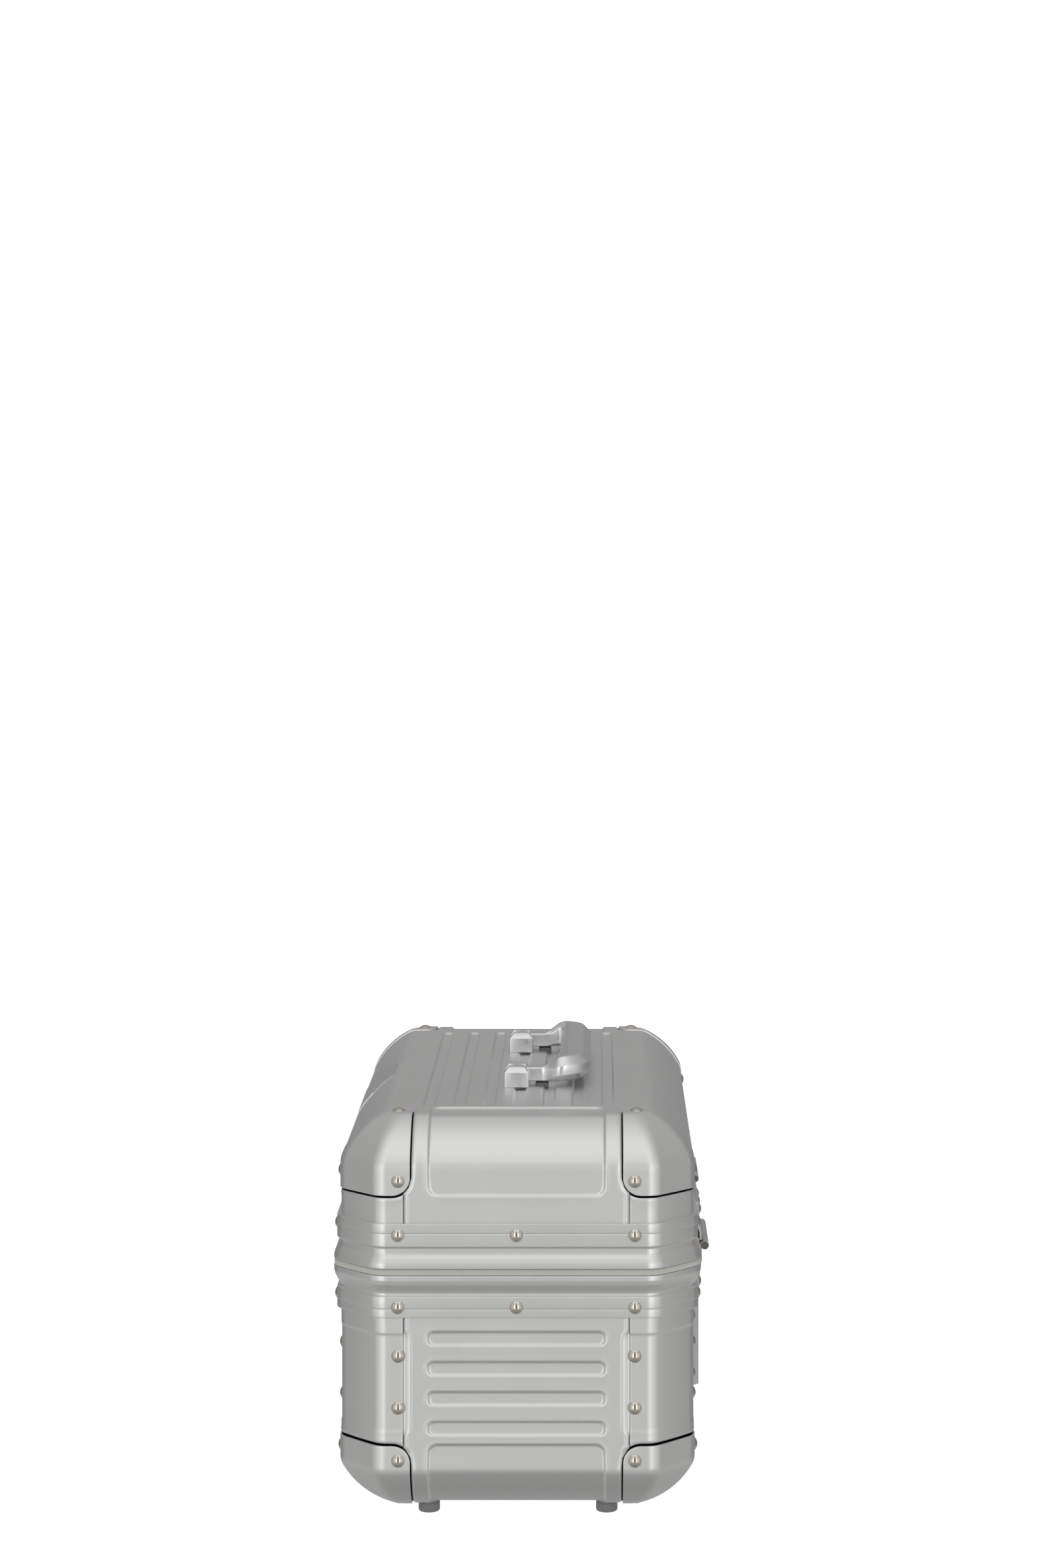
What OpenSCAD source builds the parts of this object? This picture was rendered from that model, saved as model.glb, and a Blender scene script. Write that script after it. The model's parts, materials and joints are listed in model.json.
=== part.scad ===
// Hard-sided aluminium vanity case. A deep base and a shallow lid of pressed sheet
// meet in two extruded frames, with riveted corner guards, a folding carry handle on
// the lid, two hinges at the back and a combination lock at the front.
// +X is along the case, -Y is the front, +Z is up. The origin is on the ground under
// the middle of the case.

/* [Case] */
// Length of the shells, along X
case_l = 420; // [400:1:460]
// Depth of the shells, front to back
case_w = 237; // [225:1:250]
// Height of the flat top above the ground
top_z = 271; // [266:1:278]
// Height of the flat bottom above the ground
bottom_z = 9.4; // [8:0.2:12]
// Thickness of the pressed sheet
sheet_t = 1.2; // [1:0.1:1.2]

/* [Rounded edges] */
// Radius where an edge round runs into a flat face
edge_r = 13; // [11:0.5:14]
// Radius of the flatter middle of an edge round
edge_mid_r = 60; // [50:1:70]
// Angle turned by each end arc of an edge round
edge_turn = 28; // [24:1:32]
// Radius of the two bends of an upright corner
bend_r = 13; // [11:0.5:14]
// Radius of the nearly flat facet between those bends
facet_r = 240; // [200:10:300]
// Angle turned by each bend
bend_turn = 41.5; // [40:0.5:42]

/* [Frames] */
// Height of the lower edge of the base frame's band
band_low_z = 141.6; // [140:0.2:142]
// Height of the band of either frame, and of the strip that takes its rivets
band_h = 13.8; // [13:0.2:14]
// How far the bands stand out from the shells
band_out = 2.8; // [2.4:0.1:3]
// How far the frames flare out at the seam
flare_out = 4.9; // [4.5:0.1:5]
// Height of the joint between the base frame and the gasket
gasket_z = 170; // [169:0.5:171]
// Height of the seam, where the lid rests on the gasket
seam_z = 174.2; // [174:0.1:175]

/* [Corner pieces] */
// Width of a corner guard on each face of the shells, up to its seam
guard_reach = 43.2; // [40:0.2:44]
// Width of a corner cap on each face
cap_reach = 47.7; // [46:0.2:50]
// Height of the top edge of the base caps
base_cap_z = 56; // [52:1:60]
// Height of the bottom edge of the lid caps
lid_cap_z = 222; // [220:1:226]
// How far the caps stand out from the shells
cap_out = 0.6; // [0.4:0.1:0.8]

/* [Rivets] */
// Radius of a rivet head
rivet_r = 4.35; // [3.5:0.05:4.5]
// Height of a rivet's dome
rivet_h = 1.9; // [1.4:0.1:2.2]
// Radius of a rivet's shank
shank_r = 1.6; // [1.2:0.1:1.8]
// Distance of the corner rivets from the upright corners
rivet_inset = 40; // [39:0.5:41]

/* [Handle] */
// Length over the four handle blocks
handle_l = 170; // [150:2:190]
// Thickness of a handle block along X
block_t = 8; // [7:0.5:9]
// Thickness of a handle arm along X
arm_t = 8.4; // [7:0.2:9]
// Height of the pivot above the top of the lid
pivot_up = 8.2; // [8:0.1:9]
// Radius of a handle pivot pin
handle_pin_r = 1.7; // [1.5:0.1:2]

/* [Lock and hinges] */
// How far the lock housing stands out from the front
lock_out = 10.4; // [10.2:0.1:11]
// Distance from the middle of the case to a hinge's middle
hinge_x = 109; // [100:0.5:120]
// Radius of the hinge barrel
barrel_r = 2.9; // [2.7:0.1:3.1]
// Distance of the hinge line behind the middle of the case
hinge_y = 127; // [126.8:0.1:127.5]
// Radius of the hinge pin
hinge_pin_r = 1.5; // [1.3:0.1:1.6]

/* [Feet] */
// Radius of a foot
foot_r = 7.25; // [6:0.25:9]
// Distance of the feet from the middle, along X and Y
foot_at = [165, 60];

/* [Hidden] */

hx = case_l / 2;
hy = case_w / 2;
hz = (top_z - bottom_z) / 2;
mid_z = (top_z + bottom_z) / 2;
far = 500;          // longer than anything in the case
fit = 0.05;         // clearance of a shank in its hole
seam_gap = 0.1;     // gap along the seams of the corner pieces
flange_t = 1;       // thickness of the flanges under the corner pieces
rib_depth = 2;      // depth of a pressed rib
pad_depth = 1.5;    // depth of a pressed pad
pad_half_w = 58.8;
pad_edge_z = [57.8, 221.5];        // where the base's pads end and the lid's start
lining_gap = 5.6;   // from the outside of a shell to its lining
lining_t = 1.8;
lid_band_z = seam_z + 14.6;        // the lid frame's band starts here
lid_top_z = lid_band_z + 15.2;     // and ends here
base_edge_z = band_low_z + 10.4;   // where the base sheet ends inside its frame
lid_edge_z = lid_top_z - 12;       // where the lid sheet ends inside its frame
lens = 1;           // run of a clean cut past a face

// ---- outlines ---------------------------------------------------------------

// A rounded corner is an arc, a flatter arc and the first arc again. Each style
// holds the end radius, the middle radius, the end angle and the arcs' step counts.
EDGE = [edge_r, edge_mid_r, edge_turn, 3, 4];
UPRIGHT = [bend_r, facet_r, bend_turn, 4, 1];

function arc(centre, radius, from, to, steps) =
    [for (i = [0:steps]) centre + radius * [cos(from + (to - from) * i / steps),
                                            sin(from + (to - from) * i / steps)]];

function corner_cut(s) = s[0] + (s[1] - s[0]) * (cos(s[2]) - sin(s[2]));

// How far the facets of the upright corners lie from the middle of the case
facet_reach = facet_r + (hx + hy - bend_r - corner_cut(UPRIGHT)
    - (facet_r - bend_r) * (cos(bend_turn) + sin(bend_turn))) / sqrt(2);

function corner(half, grow, s) =
    let (first = [half[0] - s[0], half[1] - corner_cut(s)],
         middle = first - (s[1] - s[0]) * [cos(s[2]), sin(s[2])],
         last = middle + (s[1] - s[0]) * [sin(s[2]), cos(s[2])],
         a = arc(first, s[0] + grow, 0, s[2], s[3]),
         b = arc(middle, s[1] + grow, s[2], 90 - s[2], s[4]),
         c = arc(last, s[0] + grow, 90 - s[2], 90, s[3]))
    concat(a, [for (i = [1:1:len(b) - 2]) b[i]], c);

function flip(points, sx, sy) = [for (p = points) [p[0] * sx, p[1] * sy]];
function backwards(points) = [for (i = [len(points) - 1:-1:0]) points[i]];

function outline(half, grow, s) =
    let (q = corner(half, grow, s))
    concat(q, backwards(flip(q, -1, 1)), flip(q, -1, -1), backwards(flip(q, 1, -1)));

// ---- shared shapes ----------------------------------------------------------

// A long level prism with the case's height and edge rounds, this wide each way
module edge_prism(half, turn, grow) {
    translate([0, 0, mid_z]) rotate([90, 0, turn])
        linear_extrude(2 * far, center = true) polygon(outline([half, hz], grow, EDGE));
}

// The closed shape of the whole case, grown or shrunk by one distance all round. One
// prism rounds the edges of each pair of opposite sides and of corner facets
module case_solid(grow) {
    intersection() {
        translate([0, 0, bottom_z - grow])
            linear_extrude(2 * (hz + grow)) polygon(outline([hx, hy], grow, UPRIGHT));
        edge_prism(hx, 0, grow);
        edge_prism(hy, 90, grow);
        edge_prism(facet_reach, 45, grow);
        edge_prism(facet_reach, -45, grow);
    }
}

// A skin of the case between two depths
module skin(outer, inner) {
    difference() {
        case_solid(outer);
        case_solid(inner);
    }
}

module slab(low, high) {
    translate([-far / 2, -far / 2, low]) cube([far, far, high - low]);
}

// The space at one upright corner that reaches this far in from both faces
module corner_box(sx, sy, reach, low, high) {
    translate([sx * (hx - reach + far / 2), sy * (hy - reach + far / 2), (low + high) / 2])
        cube([far, far, high - low], center = true);
}

module all_corners(reach, low, high) {
    for (sx = [-1, 1], sy = [-1, 1]) corner_box(sx, sy, reach, low, high);
}

// A closed ring round the case. Its section is a loop of [distance out, height]
module ring(section) {
    loops = [for (p = section) [for (q = outline([hx, hy], p[0], UPRIGHT)) [q[0], q[1], p[1]]]];
    n = len(loops[0]);
    m = len(loops);
    polyhedron(
        points = [for (l = loops) each l],
        faces = [for (i = [0:m - 1], j = [0:n - 1])
            [i * n + j, ((i + 1) % m) * n + j, ((i + 1) % m) * n + (j + 1) % n, i * n + (j + 1) % n]]);
}

// A slot with round ends, from z = 0 up
module stadium(length, width, height) {
    translate([-(length - width) / 2, -width / 2, 0]) cube([length - width, width, height]);
    for (s = [-1, 1]) translate([s * (length - width) / 2, 0, 0])
        cylinder(h = height, d = width, $fn = 32);
}

// Moves its children from z = 0 pointing up onto one of the case's flat faces
module on_end(s, y, z, out = 0) translate([s * (hx + out), y, z]) rotate([0, s * 90, 0]) children();
module on_side(s, x, z, out = 0) translate([x, s * (hy + out), z]) rotate([-s * 90, 0, 0]) children();

// ---- rivets -----------------------------------------------------------------

// One rivet: a domed head on z = 0, a shank through the grip and a tail behind it
module rivet(grip) {
    ball_r = (rivet_r * rivet_r + rivet_h * rivet_h) / (2 * rivet_h);
    tail_h = 0.8;
    intersection() {
        translate([0, 0, rivet_h - ball_r]) sphere(r = ball_r, $fn = 48);
        cylinder(h = rivet_h + lens, r = rivet_r + lens, $fn = 48);
    }
    translate([0, 0, -grip]) cylinder(h = grip + rivet_h / 2, r = shank_r, $fn = 32);
    translate([0, 0, -grip - tail_h]) cylinder(h = tail_h, r = shank_r + 0.9, $fn = 32);
}

module rivet_hole() {
    translate([0, 0, -10]) cylinder(h = 12, r = shank_r + fit, $fn = 32);
}

base_band_rivet_z = band_low_z + 7.1;
lid_band_rivet_z = lid_band_z + 7.5;
front_rivet_x = 90;     // the two rivets between the corners, on the front
back_rivet_x = 46;      // and on the back

// Rivet rows along a band at this height: three on each end, four on front and back
module at_band(z) {
    for (s = [-1, 1]) {
        for (y = [-(hy - rivet_inset), 0, hy - rivet_inset]) on_end(s, y, z, band_out) children();
        for (x = [hx - rivet_inset, s < 0 ? front_rivet_x : back_rivet_x], sx = [-1, 1])
            on_side(s, sx * x, z, band_out) children();
    }
}

module at_corner_rivets(z, out) {
    for (sx = [-1, 1], sy = [-1, 1]) {
        on_end(sx, sy * (hy - rivet_inset), z, out) children();
        on_side(sy, sx * (hx - rivet_inset), z, out) children();
    }
}

guard_rivet_z = [81.2, 115.6];
base_cap_rivet_z = 46.4;
lid_cap_rivet_z = 231.6;
flat_cap_rivet = [hx - 38, hy - 38.5];   // on the flat top or bottom
band_grip = band_out + 4;
cap_grip = cap_out + sheet_t + flange_t;

module at_flat_cap_rivets(up) {
    for (sx = [-1, 1], sy = [-1, 1])
        translate([sx * flat_cap_rivet[0], sy * flat_cap_rivet[1], up > 0 ? top_z + cap_out : bottom_z - cap_out])
            rotate([up > 0 ? 0 : 180, 0, 0]) children();
}

module at_base_rivets() {
    at_band(base_band_rivet_z) children();
    for (z = guard_rivet_z) at_corner_rivets(z, 0) children();
    at_corner_rivets(base_cap_rivet_z, cap_out) children();
    at_flat_cap_rivets(-1) children();
}

module at_lid_rivets() {
    at_band(lid_band_rivet_z) children();
    at_corner_rivets(lid_cap_rivet_z, cap_out) children();
    at_flat_cap_rivets(1) children();
}

module base_rivets() {
    color("gainsboro") {
        at_band(base_band_rivet_z) rivet(band_grip);
        for (z = guard_rivet_z) at_corner_rivets(z, 0) rivet(sheet_t + flange_t);
        at_corner_rivets(base_cap_rivet_z, cap_out) rivet(cap_grip);
        at_flat_cap_rivets(-1) rivet(cap_grip);
    }
}

module lid_rivets() {
    color("gainsboro") {
        at_band(lid_band_rivet_z) rivet(band_grip);
        at_corner_rivets(lid_cap_rivet_z, cap_out) rivet(cap_grip);
        at_flat_cap_rivets(1) rivet(cap_grip);
    }
}

// ---- base -------------------------------------------------------------------

// The pressed panels of one shell: its corners are cut away for the corner pieces,
// and a thin flange is left behind them for their rivets
module panels(low, cap_low, cap_high, guard_low, guard_high, flange_low, flange_high) {
    lap = 2;
    flange = 12;
    difference() {
        intersection() {
            skin(0, -sheet_t);
            slab(low, low + far);
        }
        all_corners(cap_reach, cap_low, cap_high);
        all_corners(guard_reach, guard_low, guard_high);
    }
    intersection() {
        skin(-sheet_t, -sheet_t - flange_t);
        union() {
            difference() {
                all_corners(cap_reach + lap, cap_low - lap, cap_high + lap);
                all_corners(cap_reach - flange, cap_low - lap, cap_high + lap);
            }
            difference() {
                all_corners(guard_reach + lap, flange_low, flange_high);
                all_corners(guard_reach - flange, flange_low, flange_high);
            }
        }
    }
}

rib_pitch = 19.9;
end_rib_z = [for (i = [0:3]) 67.5 + rib_pitch * i];
rib_w = 11.5;
rib_inset = 58.5;    // from a rib's end to the upright corner

// The four ribs of each base wall. Grown, they are the backs of the pressings, which
// stop inside the sheet; the cuts run past its face
module base_ribs(grow) {
    depth = rib_depth + grow;
    high = grow > 0 ? depth - 0.2 : depth + lens;
    for (s = [-1, 1], z = end_rib_z) {
        on_end(s, 0, z, -depth) rotate([0, 0, 90]) stadium(2 * (hy - rib_inset + grow), rib_w + 2 * grow, high);
        on_side(s, 0, z, -depth) stadium(2 * (hx - rib_inset + grow), rib_w + 2 * grow, high);
    }
}

base_pad_run = 34.8; // how far a pad runs in from the end along the bottom
lid_pad_run = 54;    // and along the top
pad_lap = 1.2;       // how much larger the back of a pressed pad is

// The large pad pressed round an edge of each end, between two heights
module end_pads(low, high, run, lap, outer, inner) {
    intersection() {
        skin(outer, inner);
        for (s = [-1, 1])
            translate([s * (hx - run - lap + far / 2), 0, (low + high) / 2])
                cube([far, 2 * (pad_half_w + lap), high - low], center = true);
    }
}

module pad_backs(low, high, run) {
    end_pads(low, high, run, pad_lap, -0.5, -pad_depth - sheet_t);
}

module pad_fronts(low, high, run) {
    end_pads(low, high, run, 0, lens, -pad_depth);
}

module base_shell() {
    color("silver") difference() {
        union() {
            intersection() {
                panels(bottom_z - lens, bottom_z - lens, base_cap_z, base_cap_z, far,
                    base_cap_z, band_low_z - lens);
                slab(0, base_edge_z);
            }
            base_ribs(sheet_t);
            pad_backs(0, pad_edge_z[0] + pad_lap, base_pad_run);
        }
        base_ribs(0);
        pad_fronts(0, pad_edge_z[0], base_pad_run);
        at_base_rivets() rivet_hole();
        at_feet() translate([0, 0, bottom_z - lens]) cylinder(h = 5, r = 1.6, $fn = 32);
        at_sleeve_rivets() rivet_hole();
        at_leaf_rivets(base_leaf_rivet_z) rivet_hole();
    }
}

module base_guard(sx, sy) {
    color("darkgray") difference() {
        intersection() {
            skin(0, -sheet_t);
            corner_box(sx, sy, guard_reach - seam_gap, base_cap_z + seam_gap, base_edge_z);
        }
        for (z = guard_rivet_z) at_corner_rivets(z, 0) rivet_hole();
        at_band(base_band_rivet_z) rivet_hole();
    }
}

module base_cap(sx, sy) {
    color("darkgray") difference() {
        intersection() {
            skin(cap_out, -sheet_t);
            corner_box(sx, sy, cap_reach - seam_gap, 0, base_cap_z - seam_gap);
        }
        at_corner_rivets(base_cap_rivet_z, cap_out) rivet_hole();
        at_flat_cap_rivets(-1) rivet_hole();
    }
}

module base_frame() {
    slot = 0.05;
    section = [[slot, band_low_z], [band_out, band_low_z], [band_out, band_low_z + band_h],
        [1.2, 156.6], [1.2, 158.4], [flare_out, 166.2], [flare_out, gasket_z], [-1.8, gasket_z],
        [-1.8, seam_z - 0.4], [-4, seam_z - 0.4], [-4, band_low_z], [-sheet_t - slot, band_low_z],
        [-sheet_t - slot, base_edge_z + slot], [slot, base_edge_z + slot]];
    color("silver") difference() {
        ring(section);
        at_band(base_band_rivet_z) rivet_hole();
        at_leaf_rivets(base_leaf_rivet_z) rivet_hole();
    }
}

module gasket() {
    color("darkkhaki") ring([[-1.6, gasket_z], [4.4, gasket_z], [4.4, seam_z], [-1.6, seam_z]]);
}

module base_lining() {
    color("dimgray") intersection() {
        skin(-lining_gap, -lining_gap - lining_t);
        slab(0, band_low_z - 0.2);
    }
}

// ---- feet -------------------------------------------------------------------

module at_feet() {
    for (sx = [-1, 1], sy = [-1, 1]) translate([sx * foot_at[0], sy * foot_at[1], 0]) children();
}

// The well in a foot that sinks its screw's head
screw_well_r = 3.4;
screw_well_h = 2.6;

module feet() {
    edge = 1;
    color("gray") at_feet() difference() {
        rotate_extrude($fn = 64) polygon(concat([[0, 0]],
            arc([foot_r - edge, edge], edge, -90, 0, 4), [[foot_r, bottom_z], [0, bottom_z]]));
        translate([0, 0, -lens]) cylinder(h = screw_well_h + lens, r = screw_well_r, $fn = 32);
        cylinder(h = far, r = 1.55, $fn = 32);
    }
}

module foot_screws() {
    head_h = 1.4;
    nut_z = bottom_z + sheet_t;
    color("gainsboro") at_feet() {
        translate([0, 0, screw_well_h - head_h]) cylinder(h = head_h, r = 2.9, $fn = 32);
        translate([0, 0, screw_well_h - fit]) cylinder(h = nut_z - screw_well_h + 2, r = 1.5, $fn = 32);
        translate([0, 0, nut_z]) cylinder(h = 2, r = 3, $fn = 6);
    }
}

// ---- trolley sleeve ---------------------------------------------------------

sleeve = [226, 66, 1.2];    // along X, along Z, sheet thickness
sleeve_z = 99.8;            // height of its middle
sleeve_out = 5.8;           // from the case to the outside of the sleeve
sleeve_foot = 13;           // width of the two riveted feet

module at_sleeve_rivets() {
    for (sx = [-1, 1], z = [end_rib_z[0], end_rib_z[2]] + [rib_pitch, rib_pitch] / 2)
        on_side(1, sx * (sleeve[0] - sleeve_foot) / 2, z, sleeve[2]) children();
}

module trolley_sleeve() {
    half = sleeve[0] / 2;
    inner = half - sleeve_foot;
    t = sleeve[2];
    color("silver") difference() {
        translate([0, hy, sleeve_z - sleeve[1] / 2]) linear_extrude(sleeve[1])
            polygon([[-half, 0], [-inner, 0], [-inner + 4, sleeve_out - t], [inner - 4, sleeve_out - t],
                [inner, 0], [half, 0], [half, t], [inner + 1, t], [inner - 3.4, sleeve_out],
                [-inner + 3.4, sleeve_out], [-inner - 1, t], [-half, t]]);
        at_sleeve_rivets() rivet_hole();
    }
}

module sleeve_rivets() {
    color("gainsboro") at_sleeve_rivets() rivet(sleeve[2] + sheet_t);
}

// ---- hinges -----------------------------------------------------------------

hinge_w = 69;
knuckle_w = 27;         // the lid's knuckle, in the middle
knuckle_gap = 0.3;
leaf_t = 1.6;
base_leaf_rivet_z = 147.6;
lid_leaf_rivet_z = 197;

module at_leaf_rivets(z) {
    for (s = [-1, 1], dx = [-24, 0, 24])
        on_side(1, s * hinge_x + dx, z, band_out + leaf_t) children();
}

// Half of a hinge leaf's section: from the barrel along the flare, then onto the band
module leaf_section(rise, band, reach) {
    y0 = flare_out + 0.15;
    polygon([[y0, 0], [y0, rise], [band_out, band], [band_out, reach], [band_out + leaf_t, reach],
        [band_out + leaf_t, band + 0.4], [y0 + leaf_t, rise + 0.4], [y0 + leaf_t, 0]]);
}

module leaf(s, up, x_ranges, rise, band, reach) {
    difference() {
        union() {
            for (r = x_ranges) translate([s * hinge_x + r[0], hinge_y, seam_z]) rotate([0, 90, 0])
                cylinder(h = r[1] - r[0], r = barrel_r, $fn = 48);
            intersection() {
                translate([s * hinge_x - hinge_w / 2, hy, seam_z]) rotate([90, 0, 90])
                    linear_extrude(hinge_w) scale([1, up]) leaf_section(rise, band, reach);
                union() {
                    translate([-far / 2, 0, up > 0 ? seam_z + 3.6 : seam_z - 3.6 - far])
                        cube([far, far, far]);
                    for (r = x_ranges) translate([s * hinge_x + r[0], 0, 0])
                        cube([r[1] - r[0], far, far]);
                }
            }
        }
        translate([s * hinge_x - hinge_w, hinge_y, seam_z]) rotate([0, 90, 0])
            cylinder(h = 2 * hinge_w, r = hinge_pin_r + fit, $fn = 48);
    }
}

module hinge_base_leaf(s) {
    side = [knuckle_w / 2 + knuckle_gap, hinge_w / 2];
    color("silver") difference() {
        leaf(s, -1, [side, [-side[1], -side[0]]], seam_z - 164, seam_z - 156, seam_z - 141.8);
        at_leaf_rivets(base_leaf_rivet_z) rivet_hole();
    }
}

module hinge_lid_leaf(s) {
    color("silver") difference() {
        leaf(s, 1, [[-knuckle_w / 2, knuckle_w / 2]], 8, 15.4, 29.6);
        at_leaf_rivets(lid_leaf_rivet_z) rivet_hole();
    }
}

module hinge_pin(s) {
    head_h = 1.6;
    color("gainsboro") translate([s * hinge_x - hinge_w / 2, hinge_y, seam_z]) rotate([0, 90, 0]) {
        cylinder(h = hinge_w, r = hinge_pin_r, $fn = 48);
        translate([0, 0, hinge_w]) cylinder(h = head_h, r = barrel_r - 0.2, $fn = 48);
        translate([0, 0, -head_h]) cylinder(h = head_h, r = barrel_r - 0.2, $fn = 48);
    }
}

module hinge_base_rivets() {
    color("gainsboro") at_leaf_rivets(base_leaf_rivet_z) rivet(leaf_t + band_grip);
}

module hinge_lid_rivets() {
    color("gainsboro") at_leaf_rivets(lid_leaf_rivet_z) rivet(leaf_t + band_grip);
}

// ---- locks ------------------------------------------------------------------

lock_w = 62;
lock_z = [106, 166];        // bottom and top of the housing
lock_front = hy + lock_out; // distance of its face from the middle plane
dial_r = 5.4;
dial_w = 4;
dial_z = 119;
dial_y = -(hy + 5.9);
dial_pitch = 9;
dial_axle_r = 1;
hasp_half_w = 9;
hasp_y = [hy + 5.3, hy + 7.6];      // back and front of the hasp, from the middle plane
hasp_low_z = 157.3;
slide_z = 159.5;
bolt_h = 3;
pad_proud = 1;              // how far the thumb pad stands out of the housing

// A box from two opposite corners
module box(a, b) {
    translate([min(a[0], b[0]), min(a[1], b[1]), min(a[2], b[2])])
        cube([abs(b[0] - a[0]), abs(b[1] - a[1]), abs(b[2] - a[2])]);
}

module lock_housing() {
    color("silver") difference() {
        intersection() {
            box([-lock_w / 2, -lock_front, lock_z[0]], [lock_w / 2, -hy, lock_z[1]]);
            translate([-far / 2, -hy, 0]) rotate([90, 0, 90]) linear_extrude(far)
                polygon([[0, lock_z[0]], [3 - lock_out, lock_z[0]], [-lock_out, lock_z[0] + 3],
                    [-lock_out, lock_z[1] - 2], [1.3 - lock_out, lock_z[1]], [0, lock_z[1]]]);
        }
        box([-far, -hy - band_out - 0.15, band_low_z - 0.3], [far, 0, far]);
        box([-far, -hy - flare_out - 0.15, 156], [far, 0, far]);
        // the slot that takes the hasp
        box([-hasp_half_w - 0.5, -hasp_y[1] - 0.7, hasp_low_z - 1], [hasp_half_w + 0.5, 0, far]);
        // the channel for the bolt and the window for its thumb pad
        box([hasp_half_w - 1, -hasp_y[1] - 0.3, slide_z - bolt_h / 2 - 0.3],
            [29.6, 0, slide_z + bolt_h / 2 + 0.3]);
        box([13.4, -far, slide_z - 3.4], [28.8, -hasp_y[1] + 0.8, slide_z + 3.4]);
        for (i = [-1, 0, 1]) translate([i * dial_pitch, 0, dial_z])
            box([-dial_w / 2 - 0.3, -far, -dial_r - 0.5], [dial_w / 2 + 0.3, far, dial_r + 0.5]);
        translate([-16, dial_y, dial_z]) rotate([0, 90, 0])
            cylinder(h = 32, r = dial_axle_r + 0.02, $fn = 32);
    }
}

module dial_axle() {
    color("gray") translate([-15.9, dial_y, dial_z]) rotate([0, 90, 0])
        cylinder(h = 31.8, r = dial_axle_r, $fn = 32);
}

module dial(i) {
    color("dimgray") translate([i * dial_pitch - dial_w / 2, dial_y, dial_z]) rotate([0, 90, 0])
        difference() {
            cylinder(h = dial_w, r = dial_r, $fn = 64);
            translate([0, 0, -lens]) cylinder(h = dial_w + 2 * lens, r = dial_axle_r + fit, $fn = 32);
        }
}

// The thumb slide with its bolt, which stops just short of the hasp's notch
module lock_slide() {
    pad_x = 13.7;
    pad_w = 11;
    color("gainsboro") {
        box([hasp_half_w + 0.3, -hasp_y[1], slide_z - bolt_h / 2],
            [pad_x + pad_w, -hasp_y[0] - 0.2, slide_z + bolt_h / 2]);
        box([pad_x, -lock_front - pad_proud, slide_z - 3], [pad_x + pad_w, -hasp_y[1] + 0.5, slide_z + 3]);
    }
}

// The plate on the lid that drops into the lock, with a notch for the bolt
module lock_hasp() {
    pad_half_w = 16;
    color("silver") difference() {
        union() {
            box([-hasp_half_w, -hasp_y[1], hasp_low_z], [hasp_half_w, -hasp_y[0], lid_top_z - 0.4]);
            box([-pad_half_w, -hasp_y[0], lid_band_z + 0.4], [pad_half_w, -hy - band_out, lid_top_z - 0.4]);
        }
        box([hasp_half_w - 2.2, -far, slide_z - 2], [far, 0, slide_z + 2]);
        at_hasp_rivets() rivet_hole();
    }
}

module at_hasp_rivets() {
    for (x = [-12.4, 12.4]) on_side(-1, x, lid_leaf_rivet_z, hasp_y[0] - hy) children();
}

module hasp_rivets() {
    color("gainsboro") at_hasp_rivets() {
        cylinder(h = 1, r = 2.8, $fn = 32);
        translate([0, 0, -hasp_y[0] + hy - 4]) cylinder(h = hasp_y[0] - hy + 4.5, r = shank_r, $fn = 32);
    }
}

// ---- lid --------------------------------------------------------------------

top_rib_pitch = 20.3;
top_rib_y = [for (i = [-3:3]) i * top_rib_pitch];
top_rib_w = 9.5;
top_rib_l = 2 * (hx - 57);

module lid_shell() {
    color("silver") difference() {
        union() {
            intersection() {
                panels(lid_edge_z, lid_cap_z, far, 0, lid_cap_z, lid_top_z + lens, lid_cap_z);
                slab(lid_edge_z, far);
            }
            for (y = top_rib_y) translate([0, y, top_z - rib_depth - sheet_t])
                stadium(top_rib_l + 2 * sheet_t, top_rib_w + 2 * sheet_t, rib_depth + sheet_t - 0.2);
            pad_backs(pad_edge_z[1] - pad_lap, far, lid_pad_run);
        }
        for (y = top_rib_y) translate([0, y, top_z - rib_depth]) stadium(top_rib_l, top_rib_w, 5);
        pad_fronts(pad_edge_z[1], far, lid_pad_run);
        at_lid_rivets() rivet_hole();
        at_block_screws() translate([0, 0, -10]) cylinder(h = 12, r = 1.6, $fn = 32);
        at_leaf_rivets(lid_leaf_rivet_z) rivet_hole();
        at_hasp_rivets() rivet_hole();
    }
}

module lid_guards() {
    color("darkgray") difference() {
        intersection() {
            skin(0, -sheet_t);
            all_corners(guard_reach - seam_gap, lid_edge_z, lid_cap_z - seam_gap);
        }
        at_lid_rivets() rivet_hole();
    }
}

module lid_cap(sx, sy) {
    color("darkgray") difference() {
        intersection() {
            skin(cap_out, -sheet_t);
            corner_box(sx, sy, cap_reach - seam_gap, lid_cap_z + seam_gap, far);
        }
        at_corner_rivets(lid_cap_rivet_z, cap_out) rivet_hole();
        at_flat_cap_rivets(1) rivet_hole();
    }
}

module lid_frame() {
    slot = 0.05;
    section = [[-4, seam_z], [flare_out, seam_z], [flare_out, seam_z + 2.2], [1.2, 184.2], [1.2, 187.4],
        [band_out, lid_band_z], [band_out, lid_top_z], [slot, lid_top_z], [slot, lid_edge_z - slot],
        [-sheet_t - slot, lid_edge_z - slot], [-sheet_t - slot, lid_top_z], [-4, lid_top_z]];
    color("silver") difference() {
        ring(section);
        at_band(lid_band_rivet_z) rivet_hole();
        at_leaf_rivets(lid_leaf_rivet_z) rivet_hole();
        at_hasp_rivets() rivet_hole();
    }
}

module lid_lining() {
    color("dimgray") intersection() {
        skin(-lining_gap, -lining_gap - lining_t);
        slab(lid_top_z + 0.2, far);
    }
}

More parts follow.
